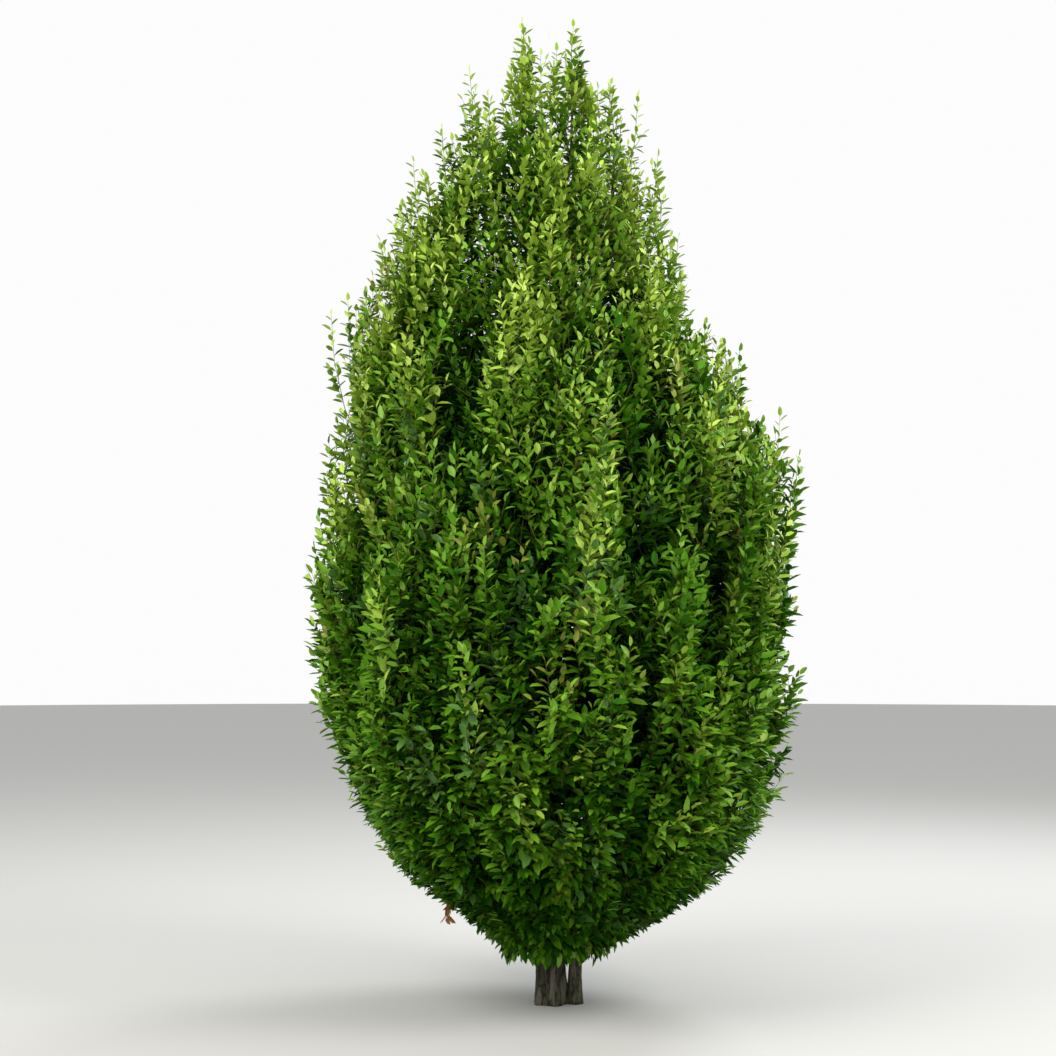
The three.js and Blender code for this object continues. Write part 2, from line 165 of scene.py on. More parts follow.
def raise_bark(skin, fissure, fineness, flute):
    """Roughens a limb's skin: flutes along it, and upright fissures of a depth, so many to the metre."""
    pushes = []
    for vert in skin:
        vert.normal_update()
        here = vert.co
        stretched = Vector((here.x * fineness, here.y * fineness, here.z * fineness * FISSURE_STRETCH))
        crack = max(0.0, 1 - abs(noise.noise(stretched)) * CRACK_SHARPNESS)
        grain = noise.noise(stretched * GRAIN_FINENESS)
        swell = noise.noise(Vector((here.x * FLUTES_ACROSS, here.y * FLUTES_ACROSS, here.z * FLUTES_ALONG)))
        pushes.append(vert.normal * (fissure * (GRAIN_DEPTH * grain - crack**2) + flute * swell))
    for vert, push in zip(skin, pushes):
        on_ground = vert.co.z < 0.001
        vert.co += push
        if on_ground:
            vert.co.z = 0


def bark_piece(name, shape, material, *nodes):
    mesh = bpy.data.meshes.new(name)
    shape.to_mesh(mesh)
    shape.free()
    mesh.shade_smooth()
    mesh.materials.append(material)
    piece = bpy.data.objects.new(name, mesh)
    bpy.context.scene.collection.objects.link(piece)
    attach(piece, "root")
    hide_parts(*nodes)
    return piece


def feed(node, inputs):
    """Gives a node's inputs plain values, or links them to other nodes' outputs."""
    for socket, value in inputs.items():
        if isinstance(value, bpy.types.NodeSocket):
            node.id_data.links.new(value, node.inputs[socket])
        else:
            node.inputs[socket].default_value = value


def add_node(tree, kind, inputs, **settings):
    node = tree.nodes.new(f"ShaderNode{kind}")
    for setting, value in settings.items():
        setattr(node, setting, value)
    feed(node, inputs)
    return node


def node_group(name, inputs, outputs):
    """A shader node group with (name, kind, value) inputs and float outputs, and its two end nodes."""
    group = bpy.data.node_groups.new(name, "ShaderNodeTree")
    for socket, kind, value in inputs:
        made = group.interface.new_socket(socket, in_out="INPUT", socket_type=f"NodeSocket{kind}")
        if value is not None:
            made.default_value = value
    for socket in outputs:
        group.interface.new_socket(socket, in_out="OUTPUT", socket_type="NodeSocketFloat")
    return group, group.nodes.new("NodeGroupInput").outputs, group.nodes.new("NodeGroupOutput")


def make_bark_fissures():
    """Upright plates and the dark cracks between them, by noise that is stretched along the limb."""
    inputs = [("Vector", "Vector", None), ("Scale", "Float", 40.0), ("Stretch", "Float", 0.16)]
    group, given, result = node_group("bark_fissures", inputs, ["Crack", "Plate", "Height"])
    squeeze = add_node(group, "CombineXYZ", {"X": 1, "Y": 1, "Z": given["Stretch"]})
    factors = {0: given["Vector"], 1: squeeze.outputs["Vector"]}
    place = add_node(group, "VectorMath", factors, operation="MULTIPLY")
    pattern = {"Vector": place.outputs["Vector"], "Scale": given["Scale"]}
    plates = add_node(group, "TexNoise", {**pattern, "Detail": 5, "Roughness": 0.6})
    seams = add_node(group, "TexNoise", {**pattern, "Detail": 3, "Distortion": 0.3})
    halfway = add_node(group, "Math", {0: seams.outputs["Fac"], 1: 0.5}, operation="SUBTRACT")
    ridge = add_node(group, "Math", {0: halfway.outputs["Value"]}, operation="ABSOLUTE")
    span = {"From Min": 0.004, "From Max": 0.045, "To Min": 1, "To Max": 0}
    crack = add_node(group, "MapRange", {"Value": ridge.outputs["Value"], **span}).outputs["Result"]
    lowered = add_node(group, "Math", {0: plates.outputs["Fac"], 1: crack}, operation="SUBTRACT")
    feed(result, {"Crack": crack, "Plate": plates.outputs["Fac"], "Height": lowered.outputs["Value"]})
    return group


def make_algae_film():
    """A thin green-grey film in broad patches, thicker low down where the bark stays damp."""
    inputs = [("Vector", "Vector", None), ("Scale", "Float", 9.0), ("Reach", "Float", 0.7)]
    group, given, result = node_group("algae_film", inputs, ["Film"])
    pattern = {"Vector": given["Vector"], "Scale": given["Scale"]}
    patches = add_node(group, "TexNoise", {**pattern, "Detail": 6, "Roughness": 0.65})
    patchy = {"Value": patches.outputs["Fac"], "From Min": 0.46, "From Max": 0.66}
    spread = add_node(group, "MapRange", patchy)
    height = add_node(group, "SeparateXYZ", {"Vector": given["Vector"]})
    span = {"From Min": 0, "From Max": given["Reach"], "To Min": 1, "To Max": 0.35}
    damp = add_node(group, "MapRange", {"Value": height.outputs["Z"], **span})
    factors = {0: spread.outputs["Result"], 1: damp.outputs["Result"]}
    film = add_node(group, "Math", factors, operation="MULTIPLY")
    feed(result, {"Film": film.outputs["Value"]})
    return group


bark_fissures = make_bark_fissures()
algae_film = make_algae_film()


def bark_material(name, plate_scale, stretch, plate_dark, plate_light, crack_colour, film_colour, relief):
    """Plates between two browns, dark cracks, a film of algae over them, and the same relief as a bump."""
    material = bpy.data.materials.new(name)
    material.use_nodes = True
    tree = material.node_tree
    place = add_node(tree, "TexCoord", {}).outputs["Object"]
    cut = {"Vector": place, "Scale": plate_scale, "Stretch": stretch}
    fissures = add_node(tree, "Group", cut, node_tree=bark_fissures)
    film = add_node(tree, "Group", {"Vector": place}, node_tree=algae_film)
    contrast = {"Value": fissures.outputs["Plate"], "From Min": 0.38, "From Max": 0.64}
    mixed = add_node(tree, "MapRange", contrast)
    colour = (*plate_dark, 1)
    layers = [
        (mixed.outputs["Result"], plate_light),
        (film.outputs["Film"], film_colour),
        (fissures.outputs["Crack"], crack_colour),
    ]
    for share, layer_colour in layers:
        layer = {"Factor": share, "A": colour, "B": (*layer_colour, 1)}
        colour = add_node(tree, "Mix", layer, data_type="RGBA").outputs["Result"]
    rough = add_node(tree, "MapRange", {"Value": fissures.outputs["Plate"], "To Min": 0.95, "To Max": 0.7})
    bump = add_node(tree, "Bump", {"Height": fissures.outputs["Height"], "Distance": relief, "Strength": 0.8})
    shader = {"Base Color": colour, "Roughness": rough.outputs["Result"], "Normal": bump.outputs["Normal"]}
    feed(tree.nodes["Principled BSDF"], {**shader, "Specular IOR Level": 0.25})
    return material


trunk_bark = bark_material(
    "trunk_bark",
    plate_scale=46,
    stretch=0.13,
    plate_dark=(0.026, 0.025, 0.013),
    plate_light=(0.118, 0.104, 0.076),
    crack_colour=(0.008, 0.009, 0.004),
    film_colour=(0.064, 0.070, 0.040),
    relief=0.006,
)
shown_heights = np.arange(0, SHOWN_HEIGHT, SHOWN_STEP)
hidden_heights = np.arange(SHOWN_HEIGHT, TRUNK_HEIGHT - 0.02, HIDDEN_STEP)
trunk_heights = np.concatenate([shown_heights, hidden_heights, [TRUNK_HEIGHT]])
trunk_path = on_trunk(trunk_heights)
trunk_radii = trunk_radius(trunk_heights) + FLARE_SPREAD * np.exp(-trunk_heights / FLARE_HEIGHT)
trunk_shape = bmesh.new()
trunk_skin = draw_out_limb(trunk_shape, trunk_path, trunk_radii, TRUNK_SIDES, flat_foot=True)
for vert in trunk_skin:
    axis = on_trunk(vert.co.z)
    angle = math.atan2(vert.co.y - axis[1], vert.co.x - axis[0])
    spread = FLARE_SPREAD * BUTTRESS_DEPTH * math.exp(-vert.co.z / FLARE_HEIGHT)
    outward = Vector((math.cos(angle), math.sin(angle), 0))
    vert.co += outward * (spread * math.cos(FLARE_BUTTRESSES * angle))
raise_bark(trunk_skin, fissure=0.0045, fineness=52, flute=0.006)
bark_piece("trunk_bark", trunk_shape, trunk_bark, "trunk")

# Second stem and boughs. The lesser stem leaves the ground close by the trunk; the boughs leave the trunk at
# a steep angle all round. All are the same wood with thinner, smoother bark, grown out of what carries them.
SECOND_STEM_FOOT = np.array([0.112, -0.006, 0.0])
SECOND_STEM_RADIUS = 0.033
STEM_FLARE_HEIGHT = 0.09
STEM_FLARE_SPREAD = 0.009
STEM_SIDES = 44
STEM_STATIONS = 120
# The second stem carries this mass of foliage, which has no bough of its own.
STEM_MASS = "middle_foliage_1"
BOUGH_TIP_SHARE = 0.55
BOUGH_LEAN = 0.1
BOUGH_SIDES = 16
BOUGH_STATIONS = 32
# A bough swells into a collar where it leaves the trunk.
COLLAR_SWELL = 0.45
COLLAR_REACH = 0.035
# The crown's outline in the photographed view: height, reach to the left, reach to the right.
OUTLINE = np.array(
    [
        [0.23, 0.15, 0.19],
        [0.42, 0.34, 0.47],
        [0.62, 0.64, 0.77],
        [1.0, 0.95, 1.08],
        [1.45, 1.19, 1.19],
        [2.0, 1.16, 1.215],
        [2.5, 1.08, 1.21],
        [3.0, 1.09, 0.93],
        [3.4, 0.96, 0.68],
        [3.9, 0.7, 0.54],
        [4.3, 0.48, 0.44],
        [4.75, 0.23, 0.3],
    ]
)
# Rings of foliage masses from the skirt upwards, as in the solids. height is the middle of the ring; turn
# is the angle of its first mass in degrees from +X; thick, wide, up and down are a mass's half depth, half
# width and reach along its own axis; column is the bare space round the trunk, which grows by widen for each
# metre above COLUMN_BASE; socket is how far below its middle a mass is entered; foot is the span of heights
# at which its limbs leave the trunk, and limb their radius there; bough says whether they are boughs.
RINGS = [
    dict(name="skirt", count=7, turn=26, height=0.7, thick=0.29, wide=0.46, up=0.6, down=0.76,
         column=0.094, widen=0.45, socket=0.33, foot=(0.19, 0.27), limb=0.02, bough=False),
    dict(name="low", count=8, turn=22.5, height=1.385, thick=0.32, wide=0.47, up=0.64, down=0.52,
         column=0.19, widen=0, socket=0.42, foot=(0.39, 0.64), limb=0.027, bough=True),
    dict(name="middle", count=8, turn=0, height=2.085, thick=0.33, wide=0.47, up=0.68, down=0.52,
         column=0.2, widen=0, socket=0.43, foot=(0.82, 1.18), limb=0.025, bough=True),
    dict(name="high", count=6, turn=30, height=2.8, thick=0.35, wide=0.48, up=0.7, down=0.52,
         column=0.15, widen=0, socket=0.42, foot=(1.62, 2.0), limb=0.021, bough=True),
    dict(name="shoulder", count=4, turn=12, height=3.47, thick=0.31, wide=0.43, up=0.68, down=0.48,
         column=0.06, widen=0, socket=0.38, foot=(2.64, 2.88), limb=0.014, bough=False),
]
COLUMN_BASE = 0.4
TURN_JITTER = 5
HEIGHT_JITTER = 0.06
HEART_DEPTH = 0.95
SOCKET_INSET = 0.09
# The leaders: their tips, how far down their foliage starts, its half width, and where they leave the trunk.
LEADERS = [
    dict(name="leader", tip=(-0.14, 0, 4.755), length=1.24, wide=0.33, foot=None),
    dict(name="second_leader", tip=(0.112, -0.06, 4.71), length=1.24, wide=0.32, foot=3.44),
    dict(name="third_leader", tip=(0.33, 0.07, 4.46), length=1.08, wide=0.32, foot=3.25),
    dict(name="fourth_leader", tip=(-0.39, 0.04, 4.49), length=1.08, wide=0.28, foot=3.33),
]
LEADER_STEM_RADIUS = 0.013
LEADER_HEART = 0.45
# Heights count for less than widths when the crown is shared out among the masses.
HEIGHT_WEIGHT = np.array([1, 1, 0.55])


def chance(key):
    """A number from 0 to 1 that is always the same for the same key."""
    wave = np.sin(key * 12.9898 + 78.233) * 43758.5453
    return wave - np.floor(wave)


def crown_reach(angle, height):
    """How far the crown reaches from its axis at a height, in the direction of an angle in radians."""
    left = np.interp(height, OUTLINE[:, 0], OUTLINE[:, 1])
    right = np.interp(height, OUTLINE[:, 0], OUTLINE[:, 2])
    return lerp(left, right, (1 + np.cos(angle)) / 2)


def ring_mass(ring, index, key):
    """One ring's mass: its heart, its own axes, and the socket where its bough ends and its stem starts."""
    turn = ring["turn"] + 360 * index / ring["count"] + TURN_JITTER * (2 * chance(key) - 1)
    angle = math.radians(turn)
    height = ring["height"] + HEIGHT_JITTER * (2 * chance(key + 0.5) - 1)
    radial = np.array([math.cos(angle), math.sin(angle), 0])
    step = 0.2
    slope = (crown_reach(angle, height + step) - crown_reach(angle, height - step)) / (2 * step)
    along = unit(radial * slope + UP)
    across = np.cross(UP, radial)
    out = np.cross(across, along)
    heart = radial * crown_reach(angle, height) + UP * height - out * ring["thick"] * HEART_DEPTH
    socket = radial * (ring["column"] + SOCKET_INSET) + UP * (heart[2] - ring["socket"])
    share = (index * 3) % ring["count"] / ring["count"]
    return SimpleNamespace(
        name=f"{ring['name']}_foliage_{index + 1}", ring=ring["name"], key=key, radial=radial, heart=heart,
        out=out, across=across, along=along, socket=socket, foot=lerp(*ring["foot"], share),
        thick=ring["thick"], wide=ring["wide"], up=ring["up"], down=ring["down"], column=ring["column"],
        widen=ring["widen"], limb=ring["limb"], has_bough=ring["bough"], under_crown=True,
    )


def leader_mass(leader, key):
    """One leader: a narrow upright flame that the crown's outline doesn't clip."""
    tip = np.array(leader["tip"])
    start = on_trunk(TRUNK_HEIGHT if leader["foot"] is None else leader["foot"])
    below = tip - UP * leader["length"]
    base = lerp(start, below, 0.9)
    base[2] = below[2]
    along = unit(tip - base)
    across = unit(np.cross(along, np.array([1.0, 0, 0])))
    heart = lerp(base, tip, LEADER_HEART)
    return SimpleNamespace(
        name=f"{leader['name']}_foliage", ring="leader", key=key, radial=None, heart=heart,
        out=np.cross(across, along), across=across, along=along, socket=None, foot=leader["foot"],
        thick=leader["wide"], wide=leader["wide"], up=np.linalg.norm(tip - heart),
        down=np.linalg.norm(base - heart) * HEART_DEPTH, column=None, widen=None, limb=LEADER_STEM_RADIUS,
        has_bough=False, under_crown=False,
    )


masses = []
for ring in RINGS:
    masses += [ring_mass(ring, index, len(masses) + 1 + index) for index in range(ring["count"])]
for leader in LEADERS:
    masses.append(leader_mass(leader, len(masses) + 1))


def bezier(corners, shares):
    """Points of a quadratic or cubic Bezier curve through its corner points."""
    shares = np.asarray(shares)[..., None]
    rest = 1 - shares
    if len(corners) == 3:
        a, b, c = corners
        return a * rest**2 + 2 * b * rest * shares + c * shares**2
    a, b, c, d = corners
    return a * rest**3 + 3 * b * rest**2 * shares + 3 * c * rest * shares**2 + d * shares**3


def limb_corners(start, end, lean):
    """A limb from the trunk to a mass's socket or heart: it leaves outwards and bends upwards."""
    return [start, lerp(start, end, 0.5) + (end - start) * np.array([lean, lean, 0]), end]


def bough_corners(mass):
    """A bough from the trunk, or the second stem, which rises straight before it leans towards its mass."""
    if mass.name != STEM_MASS:
        return limb_corners(on_trunk(mass.foot), mass.socket, BOUGH_LEAN)
    straight_up = SECOND_STEM_FOOT * [1, 1, 0] + UP * mass.socket[2] * 0.45
    leaning = lerp(mass.socket, SECOND_STEM_FOOT, 0.45) * [1, 1, 0] + UP * mass.socket[2] * 0.6
    return [SECOND_STEM_FOOT, straight_up, leaning, mass.socket]


bough_bark = bark_material(
    "bough_bark",
    plate_scale=70,
    stretch=0.15,
    plate_dark=(0.026, 0.022, 0.013),
    plate_light=(0.115, 0.098, 0.070),
    crack_colour=(0.010, 0.009, 0.005),
    film_colour=(0.062, 0.070, 0.036),
    relief=0.003,
)
limb_points = [np.column_stack([trunk_path, trunk_radius(trunk_heights)])]
boughs_shape = bmesh.new()
stem_shape = bmesh.new()
bough_nodes = []
for mass in masses:
    if not mass.has_bough:
        continue
    is_stem = mass.name == STEM_MASS
    shares = np.linspace(0, 1, STEM_STATIONS if is_stem else BOUGH_STATIONS)
    path = bezier(bough_corners(mass), shares)
    radii = lerp(SECOND_STEM_RADIUS if is_stem else mass.limb, mass.limb * BOUGH_TIP_SHARE, shares)
    limb_points.append(np.column_stack([path, radii]))
    if is_stem:
        radii = radii + STEM_FLARE_SPREAD * np.exp(-path[:, 2] / STEM_FLARE_HEIGHT)
        stem_skin = draw_out_limb(stem_shape, path, radii, STEM_SIDES, flat_foot=True)
        raise_bark(stem_skin, fissure=0.003, fineness=70, flute=0.004)
        continue
    clear = np.linalg.norm(path - on_trunk(path[:, 2]), axis=1) - trunk_radius(path[:, 2])
    collar = 1 + COLLAR_SWELL * np.exp(-np.maximum(clear, 0) / COLLAR_REACH)
    bough_skin = draw_out_limb(boughs_shape, path, radii * collar, BOUGH_SIDES)
    raise_bark(bough_skin, fissure=0.0014, fineness=90, flute=0.002)
    bough_nodes.append(mass.name.replace("foliage", "bough"))
bark_piece("second_stem_bark", stem_shape, bough_bark, "second_stem")
bark_piece("boughs_bark", boughs_shape, bough_bark, *bough_nodes)

# Twigs. Each bough runs on into its mass as a stem with branchlets all round it, and these carry the leafy
# wands of this year and last, thin, olive-brown and bent upwards, as upright plumes. Most plumes end evenly
# over the crown's surface, on twigs that fork off the nearest branchlet, and a few stand clear as spires.
GOLDEN_ANGLE = math.pi * (3 - math.sqrt(5))
# How the masses of each ring grow: how many branchlets they have, the angles in degrees at which the lowest
# and the highest rise, how far a mass spreads beyond its solid, how upright its plumes stand and how much
# they bend up at their tips, and the smallest share of the crown's reach at which they may end.
HABITS = {
    "skirt": dict(branchlets=56, tilts=(-42, 30), swell=1.25, upright=0.0, lift=-0.06, least=0.9),
    "low": dict(branchlets=56, tilts=(-18, 56), swell=1.2, upright=0.65, lift=0.05, least=0.9),
    "middle": dict(branchlets=54, tilts=(-18, 56), swell=1.2, upright=1.5, lift=0.12, least=0.78),
    "high": dict(branchlets=48, tilts=(-18, 56), swell=1.2, upright=1.5, lift=0.12, least=0.78),
    "shoulder": dict(branchlets=34, tilts=(-18, 56), swell=1.35, upright=1.5, lift=0.12, least=0.78),
    "leader": dict(branchlets=15, tilts=(10, 70), swell=1.2, upright=2.4, lift=0.12, least=0.78),
}
# Branchlets start between these shares of a mass's reach below and above its heart, take up such a share of
# the room in front of them, and sag by such a share of their length if they rise, or if they hang.
BRANCHLET_SPAN = (0.8, 0.6)
BRANCHLET_FILL = (0.5, 0.93)
BRANCHLET_SAG = (0.16, 0.05)
TILT_JITTER = 10
# How far branchlets crowd towards the open side of their mass.
OPEN_SIDE = 0.5
STEM_LEAN = 0.08
STEM_RUN = 0.45
CREST_SHARE = 0.55
PLUME_LENGTHS = (0.28, 0.52)
# A plume's direction: its branchlet's counts for so much beside upright and outwards, and it strays a little.
PLUME_ALONG = 0.45
PLUME_OUTWARD = 0.15
PLUME_STRAY = 0.24
# The largest share of the crown's reach at which plumes end, low down and high up.
PLUME_MOST = (0.97, 0.92)
# Some plumes are whips, longer ones that reach a little beyond the others.
WHIP_SHARE = 0.18
WHIP_GROWTH = 1.45
WHIP_REACH = 1.03
# A wand's middle corner lies at this share of its length, and its tip bends up from there.
WAND_MIDDLE = 0.55
SIDE_WANDS = 5
SIDE_WAND_PLACES = (0.08, 0.8)
SIDE_WAND_SHARES = (0.58, 0.24)
SIDE_WAND_SPREAD = (0.25, 0.55)
INNER_WANDS = 3
INNER_PLACES = (0.2, 0.92)
INNER_LENGTHS = (0.16, 0.34)
INNER_SPREAD = (0.2, 0.7)
INNER_ENDS = (0.8, 0.96)
# A wand that leaves the crown is shortened by SHRINK up to so many times, and left out if it still does.
SHRINK_STEPS = 9
SHRINK = 0.84
SHORTEST = 0.05
# How far branchlets and plumes may cross the walls between one mass's space and the next.
NEIGHBOUR_EASE = 0.06
PLUME_EASE = 0.3
# Height zones, as where a change begins and over how many metres it runs, upwards or (below 0) downwards.
LOW_CROWN = (1.3, -0.7)
UPPER_CROWN = (2.4, 1.0)
THINNER_CROWN = (2.6, 1.0)
RAGGED_CROWN = (1.0, 1.2)
# The lowest leaves spread a little beyond the masses' own outline.
LOW_SPREAD = 0.07
# Upright lobes round the crown, broad and fine ones, and how deep the grooves between them are.
BROAD_LOBES = 8
FINE_LOBES = 14
GROOVE_DEPTH = 0.08
# The outermost plumes end at points spread evenly over the crown's surface between two heights.
SURFACE_PLUMES = 900
SURFACE_HEIGHTS = (0.3, 4.2)
SURFACE_THINNING = 0.62
SURFACE_LENGTHS = (0.24, 0.42)
SURFACE_WHIP_GROWTH = 1.4
SURFACE_LEAN = (0.05, 0.5)
SURFACE_STRAY = 0.1
# Shares of the crown's reach at which they end, each low down and high up: the least, the most, those of
# whips, and where a whip is shortened. A plume that is no whip is shortened at SURFACE_LIMIT.
SURFACE_LEAST = (0.93, 0.77)
SURFACE_MOST = (0.97, 0.93)
SURFACE_WHIP_ENDS = (1.02, 1.05)
SURFACE_WHIP_LIMITS = (1.03, 1.1)
SURFACE_LIMIT = 0.99
# Tips of the plumes that stand clear of the crown, as the photograph shows them, and last the tips of eight
# more in front of these and behind.
SPIRE_TIPS = np.array(
    [
        [-0.135, 0.0, 4.745],
        [0.112, -0.06, 4.71],
        [0.033, 0.05, 4.63],
        [-0.397, 0.0, 4.51],
        [0.3, 0.05, 4.46],
        [0.428, -0.05, 4.36],
        [-0.53, -0.05, 4.19],
        [0.53, 0.05, 4.09],
        [-0.673, 0.0, 4.05],
        [-0.72, -0.1, 3.8],
        [-0.978, -0.1, 3.34],
        [-1.075, 0.05, 3.3],
        [-1.07, -0.1, 2.48],
        [0.62, -0.05, 3.66],
        [0.742, -0.1, 3.22],
        [0.92, 0.0, 3.11],
        [1.12, 0.05, 2.8],
        [1.16, -0.05, 2.48],
        [1.12, 0.05, 2.1],
        [-0.05, -0.24, 4.5],
        [-0.3, -0.3, 4.28],
        [0.22, -0.34, 4.3],
        [0.0, -0.48, 4.05],
        [-0.05, 0.26, 4.5],
        [0.3, 0.33, 4.24],
        [-0.3, 0.33, 4.3],
        [0.0, 0.5, 4.05],
    ]
)
SPIRE_LENGTH = 0.46
SPIRE_LEAN = 0.07
# Above this height the crown is only spires, each as wide as its tip radius, slope and swell make it.
SPIRES_FROM = 3.95
SPIRE_TIP_RADIUS = 0.025
SPIRE_SLOPE = 0.05
SPIRE_SWELL = 0.45
# One wand on the left of the skirt has died and bends down, with its leaves brown.
DEAD_WAND = np.array([[-0.36, -0.12, 0.56], [-0.47, -0.14, 0.56], [-0.49, -0.14, 0.42]])
DEAD_WAND_MASS = "skirt_foliage_4"
# Radii of the twigs from foot to tip, and their sides.
STEM_END_RADII = (0.01, 0.009, 0.0025)
BRANCHLET_RADII = (0.0045, 0.002)
WAND_RADII = (0.002, 0.0009)
SIDE_WAND_RADII = (0.0014, 0.0008)
STEM_TWIG_SIDES = 8
BRANCHLET_SIDES = 4
WAND_SIDES = 3
LIMB_CLEARANCE = 0.004
POINTS_AT_ONCE = 4000
rng = np.random.default_rng(475)


def ramp(value, start, span):
    """How far a value has come on its way from start over a span, from 0 to 1; a negative span leads down."""
    return np.clip((value - start) / span, 0, 1)


def stacked(*groups):
    """Groups of like arrays joined into one group: first with first, second with second."""
    return [np.concatenate(arrays) for arrays in zip(*groups)]


def picked(keep, *arrays):
    return [array[keep] for array in arrays]


def around_axis(points):
    """Each point's angle round the crown's axis, and its distance from it."""
    return np.arctan2(points[:, 1], points[:, 0]), np.hypot(points[:, 0], points[:, 1])


def outward_at(points):
    """The level direction away from the crown's axis at each point."""
    return unit(points * [1, 1, 0] + 1e-6)


def points_along(corners, shares):
    """Points at the same shares of many curves: a row of points for each curve."""
    return bezier([corner[:, None] for corner in corners], shares)


def along_curves(corners, place):
    """The point at a place of its own on each of many curves, and the direction in which it runs on there."""
    start, middle, end = corners
    tangent = (1 - place)[:, None] * (middle - start) + place[:, None] * (end - middle)
    return bezier(corners, place), unit(tangent)


for mass in masses:
    here = mass.heart * HEIGHT_WEIGHT
    others = np.array([other.heart for other in masses if other is not mass]) * HEIGHT_WEIGHT
    toward = (others - here) * HEIGHT_WEIGHT
    length = np.linalg.norm(toward, axis=1)
    mass.wall_normals = toward / length[:, None]
    mass.wall_offsets = np.sum((others + here) / 2 * (others - here), axis=1) / length
hearts = np.array([mass.heart for mass in masses])


def nearest_mass(points):
    """Which mass has its heart nearest to each point."""
    return np.argmin(np.linalg.norm((points[:, None] - hearts) * HEIGHT_WEIGHT, axis=2), axis=1)


surface_heights = np.linspace(*SURFACE_HEIGHTS, 300)
surface_radii = crown_reach(math.pi / 2, surface_heights)
surface_slopes = np.gradient(surface_radii, surface_heights)
thinning = 1 - SURFACE_THINNING * ramp(surface_heights, *THINNER_CROWN)
area = np.cumsum(surface_radii * np.sqrt(1 + surface_slopes**2) * thinning)
number = np.arange(SURFACE_PLUMES)
surface_height = np.interp((number + 0.5) / SURFACE_PLUMES, area / area[-1], surface_heights)
surface_height += rng.normal(0, 0.03, SURFACE_PLUMES)
surface_angle = number * GOLDEN_ANGLE + rng.normal(0, 0.05, SURFACE_PLUMES)
surface_radial = np.stack([np.cos(surface_angle), np.sin(surface_angle), 0 * surface_angle], axis=1)
surface_slope = np.interp(surface_height, surface_heights, surface_slopes)
surface_place = surface_radial * crown_reach(surface_angle, surface_height)[:, None]
surface_owner = nearest_mass(surface_place + surface_height[:, None] * UP)
spire_owner = nearest_mass(SPIRE_TIPS - UP * SPIRE_LENGTH * 1.3)
for index, mass in enumerate(masses):
    mass.spires = SPIRE_TIPS[spire_owner == index]
    mass.surface = np.flatnonzero(surface_owner == index)


def grooves(angle, height):
    """The upright lobes and grooves in the crown's surface, where the plumes of one branch stand together."""
    broad = np.cos(BROAD_LOBES * angle + 0.9 * np.sin(2.3 * height))
    fine = np.cos(FINE_LOBES * angle - 2 * np.sin(1.9 * height + 1))
    return 1 + GROOVE_DEPTH * np.minimum((broad + fine) / 2 - 0.5, 0.1) * np.clip(height - 0.4, 0, 1.6)


def leafy_reach(angle, height):
    """How far the leaves reach from the crown's axis."""
    return crown_reach(angle, height) + LOW_SPREAD * ramp(height, *LOW_CROWN)


def from_spires(points):
    """How far each point lies below each spire's tip, and how far beside it."""
    below = SPIRE_TIPS[:, 2] - points[:, 2:]
    beside = np.hypot(points[:, :1] - SPIRE_TIPS[:, 0], points[:, 1:2] - SPIRE_TIPS[:, 1])
    return below, beside


def under_outline(mass, points, outline_share, ease):
    """Whether each point is under the crown's outline and at most ease beyond the walls to its neighbours."""
    heights = points[:, 2]
    inside = np.all(points @ mass.wall_normals.T <= mass.wall_offsets + ease, axis=1)
    angles, radii = around_axis(points)
    reach = leafy_reach(angles, heights) * outline_share * grooves(angles, heights)
    inside &= (radii <= reach) & (heights >= OUTLINE[0, 0])
    if mass.under_crown:
        inside &= points @ mass.radial >= mass.column + mass.widen * (heights - COLUMN_BASE)
    below, beside = from_spires(points)
    spire_radius = SPIRE_TIP_RADIUS + SPIRE_SLOPE * below + SPIRE_SWELL * below**2
    in_spire = np.any((below > 0) & (beside < spire_radius), axis=1)
    return inside & (in_spire | (heights < SPIRES_FROM))


def in_mass(mass, points):
    """Whether each point lies in the room that a mass has for its branchlets."""
    local = points - mass.heart
    height = local @ mass.along
    share = np.clip(np.where(height > 0, height / mass.up, -height / mass.down), 0, 1)
    width = np.hypot(local @ mass.out / mass.thick, local @ mass.across / mass.wide)
    inside = width <= HABITS[mass.ring]["swell"] * np.sqrt(1 - share**2.5)
    return under_outline(mass, points, 1.0, NEIGHBOUR_EASE) & inside


def space_reach(mass, points, directions):
    """How far a mass's room for branchlets goes on from each point in its direction."""
    low = np.zeros(len(points))
    high = np.full(len(points), mass.up + mass.down)
    for _ in range(14):
        middle = (low + high) / 2
        inside = in_mass(mass, points + directions * middle[:, None])
        low = np.where(inside, middle, low)
        high = np.where(inside, high, middle)
    return low


def stem_corners(mass):
    """A mass's stem, which runs to its heart from its bough's tip, the trunk's tip or the trunk's side."""
    if mass.foot is not None and not mass.has_bough:
        return limb_corners(on_trunk(mass.foot), mass.heart, STEM_LEAN)
    if mass.has_bough:
        before, start = bough_corners(mass)[-2:]
    else:
        before, start = on_trunk(TRUNK_HEIGHT - 0.02), on_trunk(TRUNK_HEIGHT)
    run = unit(start - before) * np.linalg.norm(mass.heart - start) * STEM_RUN
    return [start, start + run, mass.heart]


def stem_radius(mass):
    if mass.has_bough:
        return mass.limb * BOUGH_TIP_SHARE
    return TRUNK_TIP_RADIUS if mass.foot is None else mass.limb


